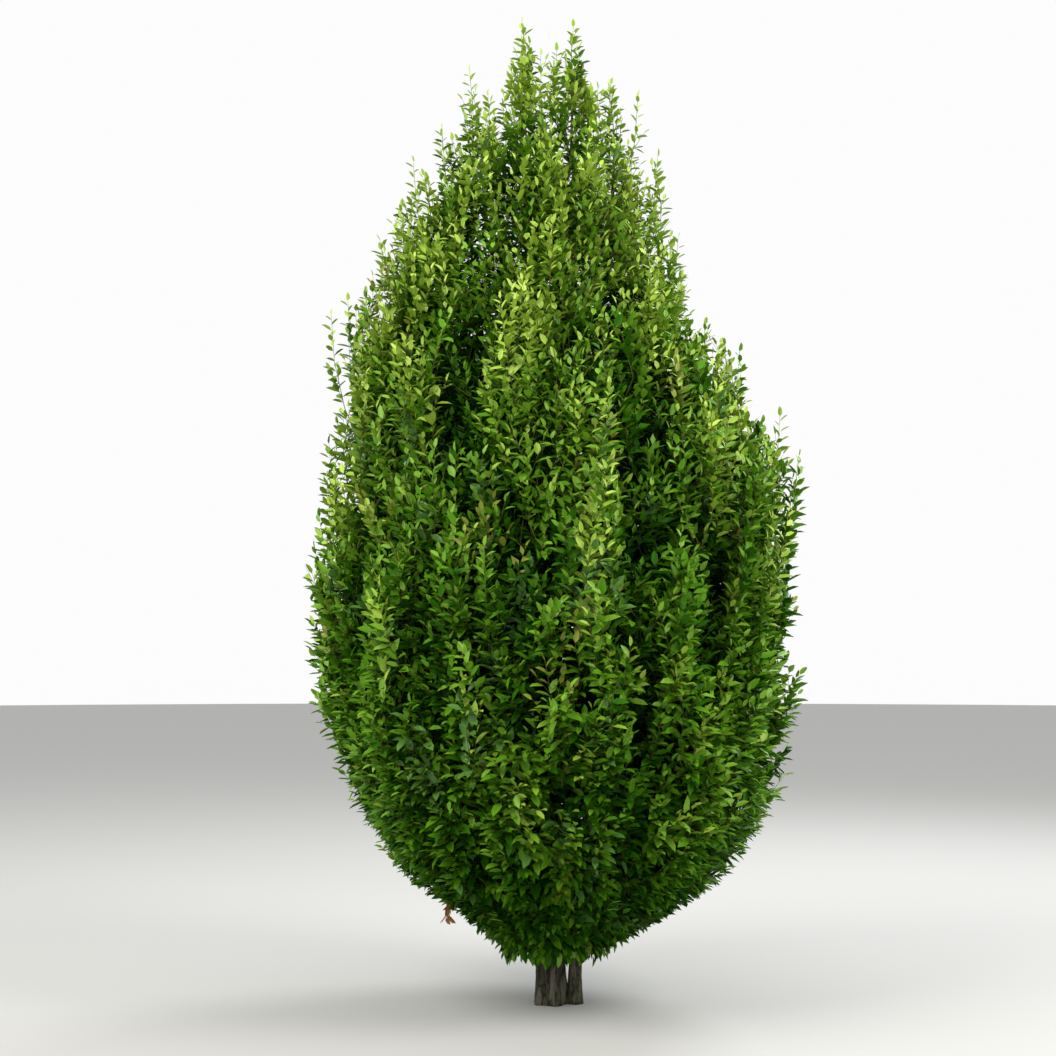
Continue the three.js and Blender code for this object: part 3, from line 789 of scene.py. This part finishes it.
def grow_branchlets(mass):
    """Branchlets round a mass's stem, low ones spreading, high ones steep, and more on the open side."""
    count = HABITS[mass.ring]["branchlets"]
    number = np.arange(count)
    rise = (number + 0.5) / count
    turn = number * GOLDEN_ANGLE + mass.key
    if mass.ring != "leader":
        turn = turn - OPEN_SIDE * np.sin(turn)
    below, above = BRANCHLET_SPAN
    height = lerp(-below * mass.down, above * mass.up, rise)
    stem = bezier(stem_corners(mass), np.clip(1 + height / mass.down, 0.3, 1))
    spine = mass.heart + mass.along * np.maximum(height, 0)[:, None]
    base = np.where((height < 0)[:, None], stem, spine)
    flat = np.cos(turn)[:, None] * mass.out + np.sin(turn)[:, None] * mass.across
    tilt = lerp(*HABITS[mass.ring]["tilts"], rise) + rng.uniform(-TILT_JITTER, TILT_JITTER, count)
    tilt = np.radians(tilt)
    heading = np.cos(tilt)[:, None] * flat + np.sin(tilt)[:, None] * mass.along
    length = space_reach(mass, base, heading) * rng.uniform(*BRANCHLET_FILL, count)
    end = base + heading * length[:, None]
    sag = np.where(tilt > 0, *BRANCHLET_SAG)[:, None] * length[:, None]
    bend = base + heading * length[:, None] * 0.5 - UP * sag
    return picked(length > SHORTEST, base, bend, end)


def shortened(mass, start, heading, length, lift, share):
    """Wands made shorter until they fit under the outline: their tips, their lengths, and which fit."""
    for _ in range(SHRINK_STEPS):
        tip = start + (heading + UP * lift) * length[:, None]
        fits = under_outline(mass, tip, share, PLUME_EASE)
        length = np.where(fits, length, length * SHRINK)
    return tip, length, fits & (length > SHORTEST)


def grow_plumes(mass, bend, end):
    """The upright wand at the end of each branchlet, and the spires whose tips stand clear of the crown."""
    habit = HABITS[mass.ring]
    heading = unit(end - bend) * PLUME_ALONG + UP * habit["upright"] + outward_at(end) * PLUME_OUTWARD
    heading = unit(heading + rng.normal(0, PLUME_STRAY, end.shape))
    whip = rng.random(len(end)) < WHIP_SHARE
    length = rng.uniform(*PLUME_LENGTHS, len(end)) * np.where(whip, WHIP_GROWTH, 1)
    most = lerp(*PLUME_MOST, ramp(end[:, 2], *UPPER_CROWN))
    share = np.where(whip, WHIP_REACH, rng.uniform(habit["least"], most))
    tip, length, keep = shortened(mass, end, heading, length, habit["lift"], share)
    middle = end + heading * length[:, None] * WAND_MIDDLE
    spire_start = mass.spires - UP * SPIRE_LENGTH + outward_at(mass.spires) * -SPIRE_LEAN
    spire_middle = mass.spires - UP * SPIRE_LENGTH * 0.5
    start, middle, tip = stacked(picked(keep, end, middle, tip), (spire_start, spire_middle, mass.spires))
    return start, middle, tip, np.linalg.norm(tip - start, axis=1)


def grow_surface_plumes(mass, base, bend, end):
    """The plumes that end at the crown's surface, and the twigs that fork off to them from branchlets."""
    own = mass.surface
    radial, angle, height = picked(own, surface_radial, surface_angle, surface_height)
    slope = np.clip(surface_slope[own], -0.4, 1.4)[:, None]
    whip = rng.random(len(own)) < WHIP_SHARE
    length = rng.uniform(*SURFACE_LENGTHS, len(own)) * np.where(whip, SURFACE_WHIP_GROWTH, 1)
    heading = unit(UP + radial * (slope + rng.uniform(*SURFACE_LEAN, (len(own), 1))))
    heading = unit(heading + rng.normal(0, SURFACE_STRAY, heading.shape))
    high = ramp(height, *UPPER_CROWN)
    least = lerp(*SURFACE_LEAST, ramp(height, *RAGGED_CROWN))
    most = lerp(*SURFACE_MOST, high)
    share = np.where(whip, lerp(*SURFACE_WHIP_ENDS, high), rng.uniform(least, most))
    limit = np.where(whip, lerp(*SURFACE_WHIP_LIMITS, high), SURFACE_LIMIT)
    reach = leafy_reach(angle, height) * grooves(angle, height) * share
    start = radial * reach[:, None] + height[:, None] * UP - heading * length[:, None]
    start[:, 2] = np.maximum(start[:, 2], OUTLINE[0, 0] + 0.05)
    room = leafy_reach(angle, start[:, 2]) * 0.9 / around_axis(start)[1]
    start[:, :2] *= np.minimum(room, 1)[:, None]
    tip, length, keep = shortened(mass, start, heading, length, 0.0, limit)
    middle = start + (heading + radial * 0.12) * length[:, None] * WAND_MIDDLE
    start, middle, tip, length = picked(keep, start, middle, tip, length)
    forks = points_along((base, bend, end), np.linspace(0.3, 1, 8)).reshape(-1, 3)
    away = np.linalg.norm(start[:, None] - forks - UP * 0.1, axis=2)
    fork = forks[np.argmin(away, axis=1)]
    twig_bend = lerp(fork, start, 0.6) - UP * 0.08 * np.linalg.norm(start - fork, axis=1)[:, None]
    return (start, middle, tip, length), (fork, twig_bend, start)


def turns_along(parents, count, first, last):
    """So many wands on each of several parents: whose each is, its side by turns, and its place along it."""
    turn = np.tile(np.arange(count), parents)
    side = np.where(turn % 2 == 0, 1.0, -1.0)[:, None]
    return np.repeat(np.arange(parents), count), side, lerp(first, last, turn / (count - 1))


def grow_side_wands(mass, start, middle, tip, length):
    """Side wands that leave each plume's wand by turns left and right, shorter towards its tip."""
    plume, turn, place = turns_along(len(start), SIDE_WANDS, *SIDE_WAND_PLACES)
    foot, tangent = along_curves(picked(plume, start, middle, tip), place)
    facing = outward_at(start) + rng.normal(0, 0.5, start.shape)
    side = unit(np.cross(tangent, facing[plume])) * turn
    heading = tangent * 0.8 + side * rng.uniform(*SIDE_WAND_SPREAD, (len(foot), 1))
    heading = unit(heading + rng.normal(0, 0.06, foot.shape))
    side_length = length[plume] * lerp(*SIDE_WAND_SHARES, place) * rng.uniform(0.75, 1.2, len(foot))
    on_spire = plume >= len(start) - len(mass.spires)
    side_length *= np.where(on_spire, 0.5, 1)
    share = 0.99 + 0.03 * ramp(foot[:, 2], *UPPER_CROWN)
    side_tip, side_length, keep = shortened(mass, foot, heading, side_length, 0.1, share)
    return picked(keep, foot, (foot + side_tip) / 2, side_tip, side_length, plume)


def grow_inner_wands(mass, base, bend, end):
    """Shorter wands along each branchlet, behind its plume."""
    habit = HABITS[mass.ring]
    branchlet, turn, place = turns_along(len(base), INNER_WANDS, *INNER_PLACES)
    start, tangent = along_curves(picked(branchlet, base, bend, end), place)
    side = unit(np.cross(tangent, mass.along) + 1e-6) * turn
    heading = tangent * 0.55 + side * rng.uniform(*INNER_SPREAD, (len(start), 1))
    heading = heading + UP * habit["upright"] * 0.7
    heading = unit(heading + rng.normal(0, 0.18, start.shape))
    length = rng.uniform(*INNER_LENGTHS, len(start))
    share = rng.uniform(*INNER_ENDS, len(start))
    tip, length, keep = shortened(mass, start, heading, length, habit["lift"], share)
    middle = start + heading * length[:, None] * WAND_MIDDLE
    return picked(keep, start, middle, tip, length, branchlet)


def leafy_ends(base, bend, end):
    """The outer part of each branchlet, which bears leaves of its own."""
    start, halfway, tip = (bezier((base, bend, end), share) for share in (0.3, 0.65, 1.0))
    middle = 2 * halfway - (start + tip) / 2
    return start, middle, tip, np.linalg.norm(tip - start, axis=1)


def stem_line(mass):
    """The path of a mass's stem, to its heart and on up to its crest, and the stem's radius along it."""
    crest = mass.heart + mass.along * mass.up * CREST_SHARE
    lower = bezier(stem_corners(mass), np.linspace(0, 1, 10))
    upper = lerp(mass.heart, crest, np.linspace(0.1, 1, 7)[:, None])
    at_heart, above_heart, at_crest = STEM_END_RADII
    lower_radii = np.linspace(stem_radius(mass), at_heart, 10)
    return np.vstack([lower, upper]), np.append(lower_radii, np.linspace(above_heart, at_crest, 7))


def grow_mass(mass):
    """One mass: its wood as paths, radii and sides, its leafy wands, and each wand's mood, which tints it."""
    base, bend, end = grow_branchlets(mass)
    surface_plumes, carriers = grow_surface_plumes(mass, base, bend, end)
    plumes = stacked(surface_plumes, grow_plumes(mass, bend, end))
    moods = rng.normal(0, 1, len(base) + len(plumes[0]))
    branchlet_mood, plume_mood = np.split(moods, [len(base)])
    *side_wands, plume = grow_side_wands(mass, *plumes)
    *inner_wands, branchlet = grow_inner_wands(mass, base, bend, end)
    wands = stacked(plumes, side_wands, inner_wands, leafy_ends(base, bend, end))
    mood = np.concatenate([plume_mood, plume_mood[plume], branchlet_mood[branchlet], branchlet_mood])
    curved = stacked(plumes[:3], inner_wands[:3])
    if mass.name == DEAD_WAND_MASS:
        curved = stacked(curved, DEAD_WAND[:, None])
    curved = stacked(curved, carriers)
    spire_end = plumes[0][len(plumes[0]) - len(mass.spires) :]
    spire_rise = np.clip(spire_end[:, 2] - mass.heart[2] - 0.2, 0, mass.up * 0.5)
    spire_base = mass.heart + mass.along * spire_rise[:, None]
    spire_bend = lerp(spire_base, spire_end, 0.5) - UP * 0.03
    branchlets = stacked((base, bend, end), (spire_base, spire_bend, spire_end))
    stem_path, stem_radii = stem_line(mass)
    straight = np.stack([side_wands[0], side_wands[2]], axis=1)
    wood = [
        (stem_path[None], stem_radii, STEM_TWIG_SIDES),
        (points_along(branchlets, np.linspace(0, 1, 5)), np.linspace(*BRANCHLET_RADII, 5), BRANCHLET_SIDES),
        (points_along(curved, np.linspace(0, 1, 3)), np.linspace(*WAND_RADII, 3), WAND_SIDES),
        (straight, np.array(SIDE_WAND_RADII), WAND_SIDES),
    ]
    return wood, wands, mood


def touches_limb(points):
    """Whether each point lies too near to the bark of the trunk, the second stem or a bough."""
    limbs = np.vstack(limb_points)[::2]
    touching = np.zeros(len(points), bool)
    for start in range(0, len(points), POINTS_AT_ONCE):
        near = points[start : start + POINTS_AT_ONCE, None] - limbs[:, :3]
        distance = np.sqrt(np.sum(near**2, axis=2)) - limbs[:, 3]
        touching[start : start + POINTS_AT_ONCE] = distance.min(axis=1) < LIMB_CLEARANCE
    return touching


def tubes(paths, radii, sides):
    """Round twigs along paths with as many points as there are radii: their points, walls and ends."""
    count, stations, _ = paths.shape
    tangents = unit(np.gradient(paths, axis=1))
    reference = np.where(np.abs(tangents[..., 2:3]) > 0.9, [1.0, 0, 0], [0, 0, 1.0])
    side = unit(np.cross(tangents, reference))
    front = np.cross(tangents, side)
    turn = np.arange(sides) * 2 * math.pi / sides
    ring = side[:, :, None] * np.cos(turn)[:, None] + front[:, :, None] * np.sin(turn)[:, None]
    points = (paths[:, :, None] + ring * radii[:, None, None]).reshape(-1, 3)
    corner = np.arange(count * stations * sides).reshape(count, stations, sides)
    following = np.roll(corner, -1, axis=2)
    walls = np.stack([corner[:, :-1], following[:, :-1], following[:, 1:], corner[:, 1:]], axis=-1)
    ends = np.concatenate([corner[:, 0, ::-1], corner[:, -1]])
    return points, walls.reshape(-1, 4), ends


def joined_mesh(name, points, rows, tints=None):
    """One mesh from arrays: points, rows of faces that each have as many corners as their row is wide."""
    mesh = bpy.data.meshes.new(name)
    sizes = np.concatenate([np.full(len(row), row.shape[1]) for row in rows])
    corners = np.concatenate([row.ravel() for row in rows])
    mesh.vertices.add(len(points))
    mesh.vertices.foreach_set("co", points.astype(np.float32).ravel())
    mesh.loops.add(len(corners))
    mesh.loops.foreach_set("vertex_index", corners.astype(np.int32))
    mesh.polygons.add(len(sizes))
    mesh.polygons.foreach_set("loop_start", (np.cumsum(sizes) - sizes).astype(np.int32))
    if tints is not None:
        mesh.polygons.foreach_set("material_index", tints.astype(np.int32))
    mesh.update(calc_edges=True)
    mesh.shade_smooth()
    return mesh


def plain_material(name, colour, roughness, sheen):
    material = bpy.data.materials.new(name)
    material.use_nodes = True
    shader = material.node_tree.nodes["Principled BSDF"]
    feed(shader, {"Base Color": (*colour, 1), "Roughness": roughness, "Specular IOR Level": sheen})
    return material


def foliage_piece(name, mesh, materials, ring):
    for material in materials:
        mesh.materials.append(material)
    piece = bpy.data.objects.new(name, mesh)
    bpy.context.scene.collection.objects.link(piece)
    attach(piece, "root")
    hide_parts(*(mass.name for mass in masses if mass.ring == ring))


wand_bark = plain_material("wand_bark", (0.088, 0.094, 0.022), roughness=0.6, sheen=0.06)
sprays = {}
for ring_name in HABITS:
    points, walls, ends, offset = [], [], {}, 0
    sprays[ring_name] = []
    for mass in masses:
        if mass.ring != ring_name:
            continue
        wood, wands, mood = grow_mass(mass)
        sprays[ring_name].append((wands, mood))
        for paths, radii, sides in wood:
            tube_points, tube_walls, tube_ends = tubes(paths, radii, sides)
            points.append(tube_points)
            walls.append(tube_walls + offset)
            ends.setdefault(sides, []).append(tube_ends + offset)
            offset += len(tube_points)
    rows = [np.vstack(walls)] + [np.vstack(ends[sides]) for sides in sorted(ends)]
    mesh = joined_mesh(f"{ring_name}_twigs", np.vstack(points), rows)
    foliage_piece(f"{ring_name}_twigs", mesh, [wand_bark], ring_name)

# Leaves. Hornbeam leaves are 5 to 9 cm long, pointed, folded a little along the midrib and set alternately
# on both sides of a wand, which ends in a leaf. Each wand is one spray with one green, in which light and
# shade are painted: lighter where the wand stands out of the crown or high up, darker deep in and low down,
# and a step lighter towards its tip, partly for the paler young leaves and partly as painted light.
LEAF_SPACING = 0.0255
FEWEST_LEAVES = 3
LEAF_LENGTHS = (0.051, 0.073)
LEAF_WIDTH_SHARE = 0.48
LEAF_FOLD = 0.08
LEAF_DROOP = 0.12
# Leaves grow larger from the top of the crown down, and stay small towards the tip of a wand.
LOW_LEAF_GROWTH = 1.25
TIP_LEAF_SHARE = 0.65
# Angles in degrees between leaf and wand, at the wand's foot and its tip, low down and high up in the crown.
LOW_SWING = (64, 36)
HIGH_SWING = (66, 46)
LAST_LEAF_SWING = 8
SWING_JITTER = 6
# How much leaves droop low down in the crown, at the wand's foot and its tip, and how much they differ.
LOW_DROOP = 0.6
DROOP_ALONG = (1.2, 0.6)
DROOP_JITTER = 0.08
# How far leaves point outwards, high up and low down.
LEAF_OUTWARD = (0.15, 0.45)
# How far a leaf's upper side faces up, and outwards: between two values in the middle of the crown, between
# two others high up, and evenly low down.
FACING_UP = 0.85
FACING_OUT = (0.3, 0.8)
HIGH_FACING_OUT = (-0.1, 0.2)
LOW_FACING_OUT = 0.6
FACE_JITTER = 0.14
# How far each leaf turns out of its row, so that a row seen from its end isn't a straight line.
ROW_JITTER = 0.38
# How far a leaf's tip may pass the crown's reach, and a little more where the crown is narrower.
LEAF_OVERHANG = 0.041
WIDE_REACH = 1.16
NARROW_OVERHANG = 0.03
# How far below the crown's lowest edge leaves may hang.
HANGING = 0.075
# On wands whose tips lie deeper than this, such a share of leaves has another beside it on a short spur.
OPEN_DEPTH = 0.16
SPUR_LEAVES = 0.6
# Leaves with their tips deeper than DEEP are thinned out to a share, and those past HIDDEN_DEPTH are plainer.
DEEP = 0.5
DEEP_SHARE = 0.28
HIDDEN_DEPTH = 0.2
# Height zones for the leaves, in the same terms as LOW_CROWN.
LOW_LEAVES = (1.9, -1.6)
HIGH_LEAVES = (2.2, 1.4)
FREE_LEAVES = (0.9, 1.0)
LARGE_LEAVES = (3.6, -2.0)
OVERHUNG_CROWN = (1.4, 0.4)
# Plain colours, first the greens from dark to light, which are painted shade and painted light: copies of
# one leaf green, of which a wand takes a lighter one for each of the steps that its painted light passes.
TINTS = {
    "leaf_shaded": (0.013, 0.066, 0.002),
    "leaf_half_shaded": (0.029, 0.118, 0.003),
    "leaf_green": (0.084, 0.224, 0.007),
    "leaf_lit": (0.150, 0.315, 0.015),
    "leaf_brightly_lit": (0.255, 0.395, 0.034),
    "leaf_tip": (0.370, 0.525, 0.070),
    "leaf_bronze": (0.190, 0.225, 0.022),
    "leaf_waxy": (0.090, 0.212, 0.036),
    "leaf_dead": (0.300, 0.135, 0.045),
}
BRONZE, WAXY, DEAD = (list(TINTS).index(name) for name in ("leaf_bronze", "leaf_waxy", "leaf_dead"))
LIGHT_STEPS = (0.36, 0.7, 1.04, 1.38)
# What adds to a wand's painted light: standing out of the crown, standing high, and its mood, low down and
# high up.
OUTER_LIGHT = 0.66
HIGH_LIGHT = 0.92
MOOD_LIGHT = (0.2, 0.3)
LIGHT_LOSS = 0.06
LIGHT_JITTER = 0.04
# LOW_SHADE is painted shade on the low wands, and TOP_GLOW a painted glow that lightens the high ones.
LOW_SHADE = 0.16
TOP_GLOW = 0.16
# The shares of the crown's reach, and the heights, over which a wand comes out into the painted light.
OUTER_ZONE = (0.62, 0.36)
TOP_ZONE = (3.6, 0.5)
WHOLE_HEIGHT = (0.3, 3.6)
GLOW_ZONE = (2.6, 1.2)
# A few wands are waxy or bronze: how many, and how much painted light they have at least.
WAXY_WANDS = 0.11
WAXY_LIGHT = 0.3
BRONZE_WANDS = 0.04
BRONZE_LIGHT = 0.7
# From this place on along a wand its leaves have a green one step lighter, partly for the paler young
# leaves and partly as painted light on the tips of the sprays.
YOUNG_FROM = 0.62
# Depths in the crown past which leaves are one, two and three greens darker, as painted shade.
DEPTH_SHADES = (0.18, 0.29, 0.42)
LEAF_SHEEN = {"leaf_shaded": 0.04, "leaf_half_shaded": 0.06, "leaf_green": 0.1, "leaf_waxy": 0.32}
PLAIN_SHEEN = 0.3
DEAD_LEAVES = 16
DEAD_LEAF_LENGTHS = (0.045, 0.06)


def leaf_blank(outline):
    """One leaf of length 1 along +Y, folded along its midrib, with an outline that starts at its tip."""
    blade = bmesh.new()
    rim = bmesh.ops.create_circle(blade, cap_ends=True, radius=1, segments=len(outline))["verts"]
    for vert, (x, y) in zip(rim, outline):
        vert.co = Vector((x, y, LEAF_FOLD * (abs(x) > 0) - LEAF_DROOP * y**2))
    bmesh.ops.connect_verts(blade, verts=[rim[0], rim[len(outline) // 2]])
    bmesh.ops.recalc_face_normals(blade, faces=blade.faces)
    if sum(face.normal.z for face in blade.faces) < 0:
        bmesh.ops.reverse_faces(blade, faces=blade.faces)
    blade.verts.index_update()
    points = np.array([vert.co[:] for vert in blade.verts])
    faces = np.array([[vert.index for vert in face.verts] for face in blade.faces])
    blade.free()
    return points, faces


def wand_is_open(tip):
    """Whether each wand ends at the crown's surface, where only its two rows of leaves show."""
    angle, radius = around_axis(tip)
    return crown_reach(angle, tip[:, 2]) - radius < OPEN_DEPTH


def leaf_frames(start, middle, tip, length):
    """Each leaf of a mass's wands: its foot, heading, upper side and length, its place along its wand, and
    which wand that is."""
    counts = np.maximum((length / LEAF_SPACING).astype(int), FEWEST_LEAVES)
    wand = np.repeat(np.arange(len(start)), counts)
    order = np.arange(len(wand)) - np.repeat(np.cumsum(counts) - counts, counts)
    place = lerp(0.06, 1.0, order / (counts[wand] - 1))
    spur = np.flatnonzero(~wand_is_open(tip)[wand] & (rng.random(len(place)) < SPUR_LEAVES))
    is_spur = np.append(np.zeros(len(wand), bool), np.ones(len(spur), bool))
    wand, order, place = (np.append(values, values[spur]) for values in (wand, order, place))
    foot, tangent = along_curves(picked(wand, start, middle, tip), place)
    outward = outward_at(foot)
    low, high, free = (ramp(foot[:, 2], *zone) for zone in (LOW_LEAVES, HIGH_LEAVES, FREE_LEAVES))
    own_way = rng.normal(0, 0.4, (len(start), 3))[wand] * lerp(1.0, 2.0, free)[:, None]
    facing = unit(outward * lerp(0.8, 0.2, free)[:, None] + own_way)
    side = unit(np.cross(tangent, facing))
    side = unit(side + np.cross(tangent, side) * rng.normal(0, ROW_JITTER, (len(side), 1)))
    side = np.where(is_spur[:, None], unit(side * rng.normal(0, 0.5, (len(side), 1)) + facing), side)
    sign = np.where(is_spur, rng.choice([-1.0, 1.0], len(order)), np.where(order % 2 == 0, 1.0, -1.0))
    openness = rng.random(len(start))[wand]
    swing = lerp(lerp(*LOW_SWING, place), lerp(*HIGH_SWING, place), high)
    swing = np.radians(swing + rng.normal(0, SWING_JITTER, len(foot)))
    swing = np.where(order == counts[wand] - 1, np.radians(LAST_LEAF_SWING), swing)
    droop = lerp(0.0, LOW_DROOP, low) * lerp(*DROOP_ALONG, place) + rng.normal(0, DROOP_JITTER, len(foot))
    heading = tangent * np.cos(swing)[:, None] + side * (sign * np.sin(swing))[:, None]
    heading = unit(heading + (outward * lerp(*LEAF_OUTWARD, low)[:, None] - UP * droop[:, None]))
    facing_out = lerp(lerp(*FACING_OUT, openness), lerp(*HIGH_FACING_OUT, openness), high)
    facing_out = lerp(facing_out, LOW_FACING_OUT, low)
    face = outward * facing_out[:, None] + UP * FACING_UP + rng.normal(0, FACE_JITTER, foot.shape)
    face = unit(face - heading * np.sum(face * heading, axis=1)[:, None])
    size = rng.uniform(*LEAF_LENGTHS, len(foot)) * lerp(1.0, TIP_LEAF_SHARE, np.clip(place * 1.8 - 0.8, 0, 1))
    size *= lerp(1.0, LOW_LEAF_GROWTH, ramp(foot[:, 2], *LARGE_LEAVES))
    return foot, heading, face, size, place, wand


def spray_tints(tip, mood, wand, place):
    """Each leaf's tint: painted light by how far its wand stands out, or younger and lighter at its tip."""
    angle, radius = around_axis(tip)
    height = tip[:, 2]
    outer = ramp(radius / crown_reach(angle, height), *OUTER_ZONE)
    outer = np.maximum(outer, ramp(height, *TOP_ZONE))
    share_up = ramp(height, *WHOLE_HEIGHT)
    # Painted light: the further a wand stands out of the crown and the higher it stands, the lighter its
    # green.
    light = outer * OUTER_LIGHT + share_up * HIGH_LIGHT - LIGHT_LOSS + mood * lerp(*MOOD_LIGHT, share_up)
    light += rng.normal(0, LIGHT_JITTER, len(tip))
    # Painted shade on the wands low in the crown.
    light -= LOW_SHADE * ramp(height, *LOW_CROWN)
    # A painted glow lightens the wands high up; the step of painted light that a wand passes picks its green.
    body = np.searchsorted(LIGHT_STEPS, light + TOP_GLOW * ramp(height, *GLOW_ZONE), side="right")
    # At its tip a wand's green is one step lighter, partly for the paler young leaves, partly as painted
    # light.
    young = body + 1
    pick = (mood * 7.31) % 1
    body = np.where((pick < WAXY_WANDS) & (light > WAXY_LIGHT), WAXY, body)
    young = np.where((pick > 1 - BRONZE_WANDS) & (light > BRONZE_LIGHT), BRONZE, young)
    return np.where(place > YOUNG_FROM, young[wand], body[wand])


def grow_leaves(wands, mood):
    """A mass's leaves that lie in the crown and clear of the limbs: their frames, sizes and tints, and which
    of them are so deep that they hardly show."""
    foot, heading, face, size, place, wand = leaf_frames(*wands)
    tint = spray_tints(wands[2], mood, wand, place)
    leaf_tip = foot + heading * size[:, None]
    angle, radius = around_axis(leaf_tip)
    reach = leafy_reach(angle, leaf_tip[:, 2])
    below, beside = from_spires(foot)
    on_spire = np.any((below > -0.01) & (below < SPIRE_LENGTH) & (beside < 0.06), axis=1)
    narrow = np.clip(WIDE_REACH - reach, 0, NARROW_OVERHANG) * ramp(foot[:, 2], *OVERHUNG_CROWN)
    keep = (radius < reach + (LEAF_OVERHANG + narrow)) | on_spire
    keep &= leaf_tip[:, 2] > OUTLINE[0, 0] - HANGING
    keep &= ~touches_limb(leaf_tip) & ~touches_limb(foot + heading * size[:, None] / 2)
    depth = np.where(foot[:, 2] > SPIRES_FROM + 0.3, 0, reach - radius)
    keep &= (depth < DEEP) | (rng.random(len(depth)) < DEEP_SHARE)
    # Painted shade: leaves deeper in the crown take one green darker for each depth step, and bronze or waxy
    # ones from two steps on the darkest green.
    steps = np.searchsorted(DEPTH_SHADES, depth + rng.normal(0, 0.03, len(depth)))
    tint = np.where(tint < BRONZE, np.maximum(tint - steps, 0), np.where(steps > 1, 0, tint))
    return picked(keep, foot, heading, face, size, tint, depth > HIDDEN_DEPTH)


def dead_leaves():
    """The brown leaves of the dead wand, which hang straight down, curled, with gaps between them."""
    foot = bezier(DEAD_WAND, np.linspace(0.5, 1, DEAD_LEAVES))
    heading = unit(rng.normal(0, 0.5, foot.shape) - UP)
    face = unit(np.cross(heading, rng.normal(0, 1, foot.shape)))
    size = rng.uniform(*DEAD_LEAF_LENGTHS, DEAD_LEAVES)
    return foot, heading, face, size, np.full(DEAD_LEAVES, DEAD), np.zeros(DEAD_LEAVES, bool)


def leaf_mesh(name, foot, heading, face, size, tint, hidden):
    """One mesh of leaves, with the full blade where a leaf shows and the plainer one where it doesn't."""
    width = size * LEAF_WIDTH_SHARE * rng.uniform(0.88, 1.12, len(size))
    across = np.cross(heading, face)
    frames = np.stack([across * width[:, None], heading * size[:, None], face * size[:, None]], axis=1)
    points, rows, tints, offset = [], [], [], 0
    for chosen, (blank_points, blank_faces) in ((~hidden, open_leaf), (hidden, hidden_leaf)):
        placed = foot[chosen][:, None] + np.einsum("pk,nkc->npc", blank_points, frames[chosen])
        shift = np.arange(len(placed))[:, None, None] * len(blank_points) + offset
        rows.append((blank_faces[None] + shift).reshape(-1, blank_faces.shape[1]))
        tints.append(np.repeat(tint[chosen], len(blank_faces)))
        points.append(placed.reshape(-1, 3))
        offset += len(points[-1])
    return joined_mesh(name, np.vstack(points), rows, np.concatenate(tints))


leaf_materials = []
for name, colour in TINTS.items():
    roughness = 0.34 if name == "leaf_waxy" else 0.45
    leaf_materials.append(plain_material(name, colour, roughness, LEAF_SHEEN.get(name, PLAIN_SHEEN)))
open_leaf = leaf_blank([(0, 1), (0.36, 0.73), (0.46, 0.33), (0, 0), (-0.46, 0.33), (-0.36, 0.73)])
hidden_leaf = leaf_blank([(0, 1), (0.5, 0.45), (0, 0), (-0.5, 0.45)])
for ring_name in HABITS:
    leaves = [grow_leaves(wands, mood) for wands, mood in sprays[ring_name]]
    if ring_name == "skirt":
        leaves.append(dead_leaves())
    mesh = leaf_mesh(f"{ring_name}_leaves", *stacked(*leaves))
    foliage_piece(f"{ring_name}_leaves", mesh, leaf_materials, ring_name)

# Studio. A plain pale floor round the tree, a white backdrop light and three soft lamps, the strongest from
# the left, as the light falls in the photograph. None of it is part of the tree.
FLOOR_COLOUR = (0.40, 0.40, 0.39)
BACKDROP_STRENGTH = 0.98
floor_shape = bmesh.new()
bmesh.ops.create_circle(floor_shape, cap_ends=True, radius=60, segments=64)
floor_mesh = bpy.data.meshes.new("studio_floor")
floor_shape.to_mesh(floor_mesh)
floor_shape.free()
floor_mesh.materials.append(plain_material("studio_floor", FLOOR_COLOUR, roughness=0.9, sheen=0.5))
floor = bpy.data.objects.new("studio_floor", floor_mesh)
bpy.context.scene.collection.objects.link(floor)

studio_world = bpy.data.worlds.new("studio_world")
studio_world.use_nodes = True
backdrop = studio_world.node_tree.nodes["Background"]
feed(backdrop, {"Color": (1.0, 1.0, 1.0, 1), "Strength": BACKDROP_STRENGTH})
bpy.context.scene.world = studio_world
bpy.context.scene.view_settings.view_transform = "Standard"


def soft_lamp(name, place, target, width, power, colour):
    data = bpy.data.lights.new(name, "AREA")
    data.shape = "DISK"
    data.size = width
    data.energy = power
    data.color = colour
    lamp = bpy.data.objects.new(name, data)
    lamp.location = place
    lamp.rotation_euler = (Vector(target) - Vector(place)).to_track_quat("-Z", "Y").to_euler()
    bpy.context.scene.collection.objects.link(lamp)


soft_lamp("key_lamp", (-6.2, -5.0, 9.0), target=(0, 0, 2.2), width=7.0, power=1050, colour=(1.0, 0.97, 0.90))
soft_lamp("side_lamp", (7.0, -3.6, 8.0), target=(0, 0, 2.0), width=5.0, power=760, colour=(1.0, 0.98, 0.93))
soft_lamp("back_lamp", (4.5, 6.0, 8.5), target=(0, 0, 2.4), width=4.0, power=700, colour=(0.95, 0.98, 1.0))
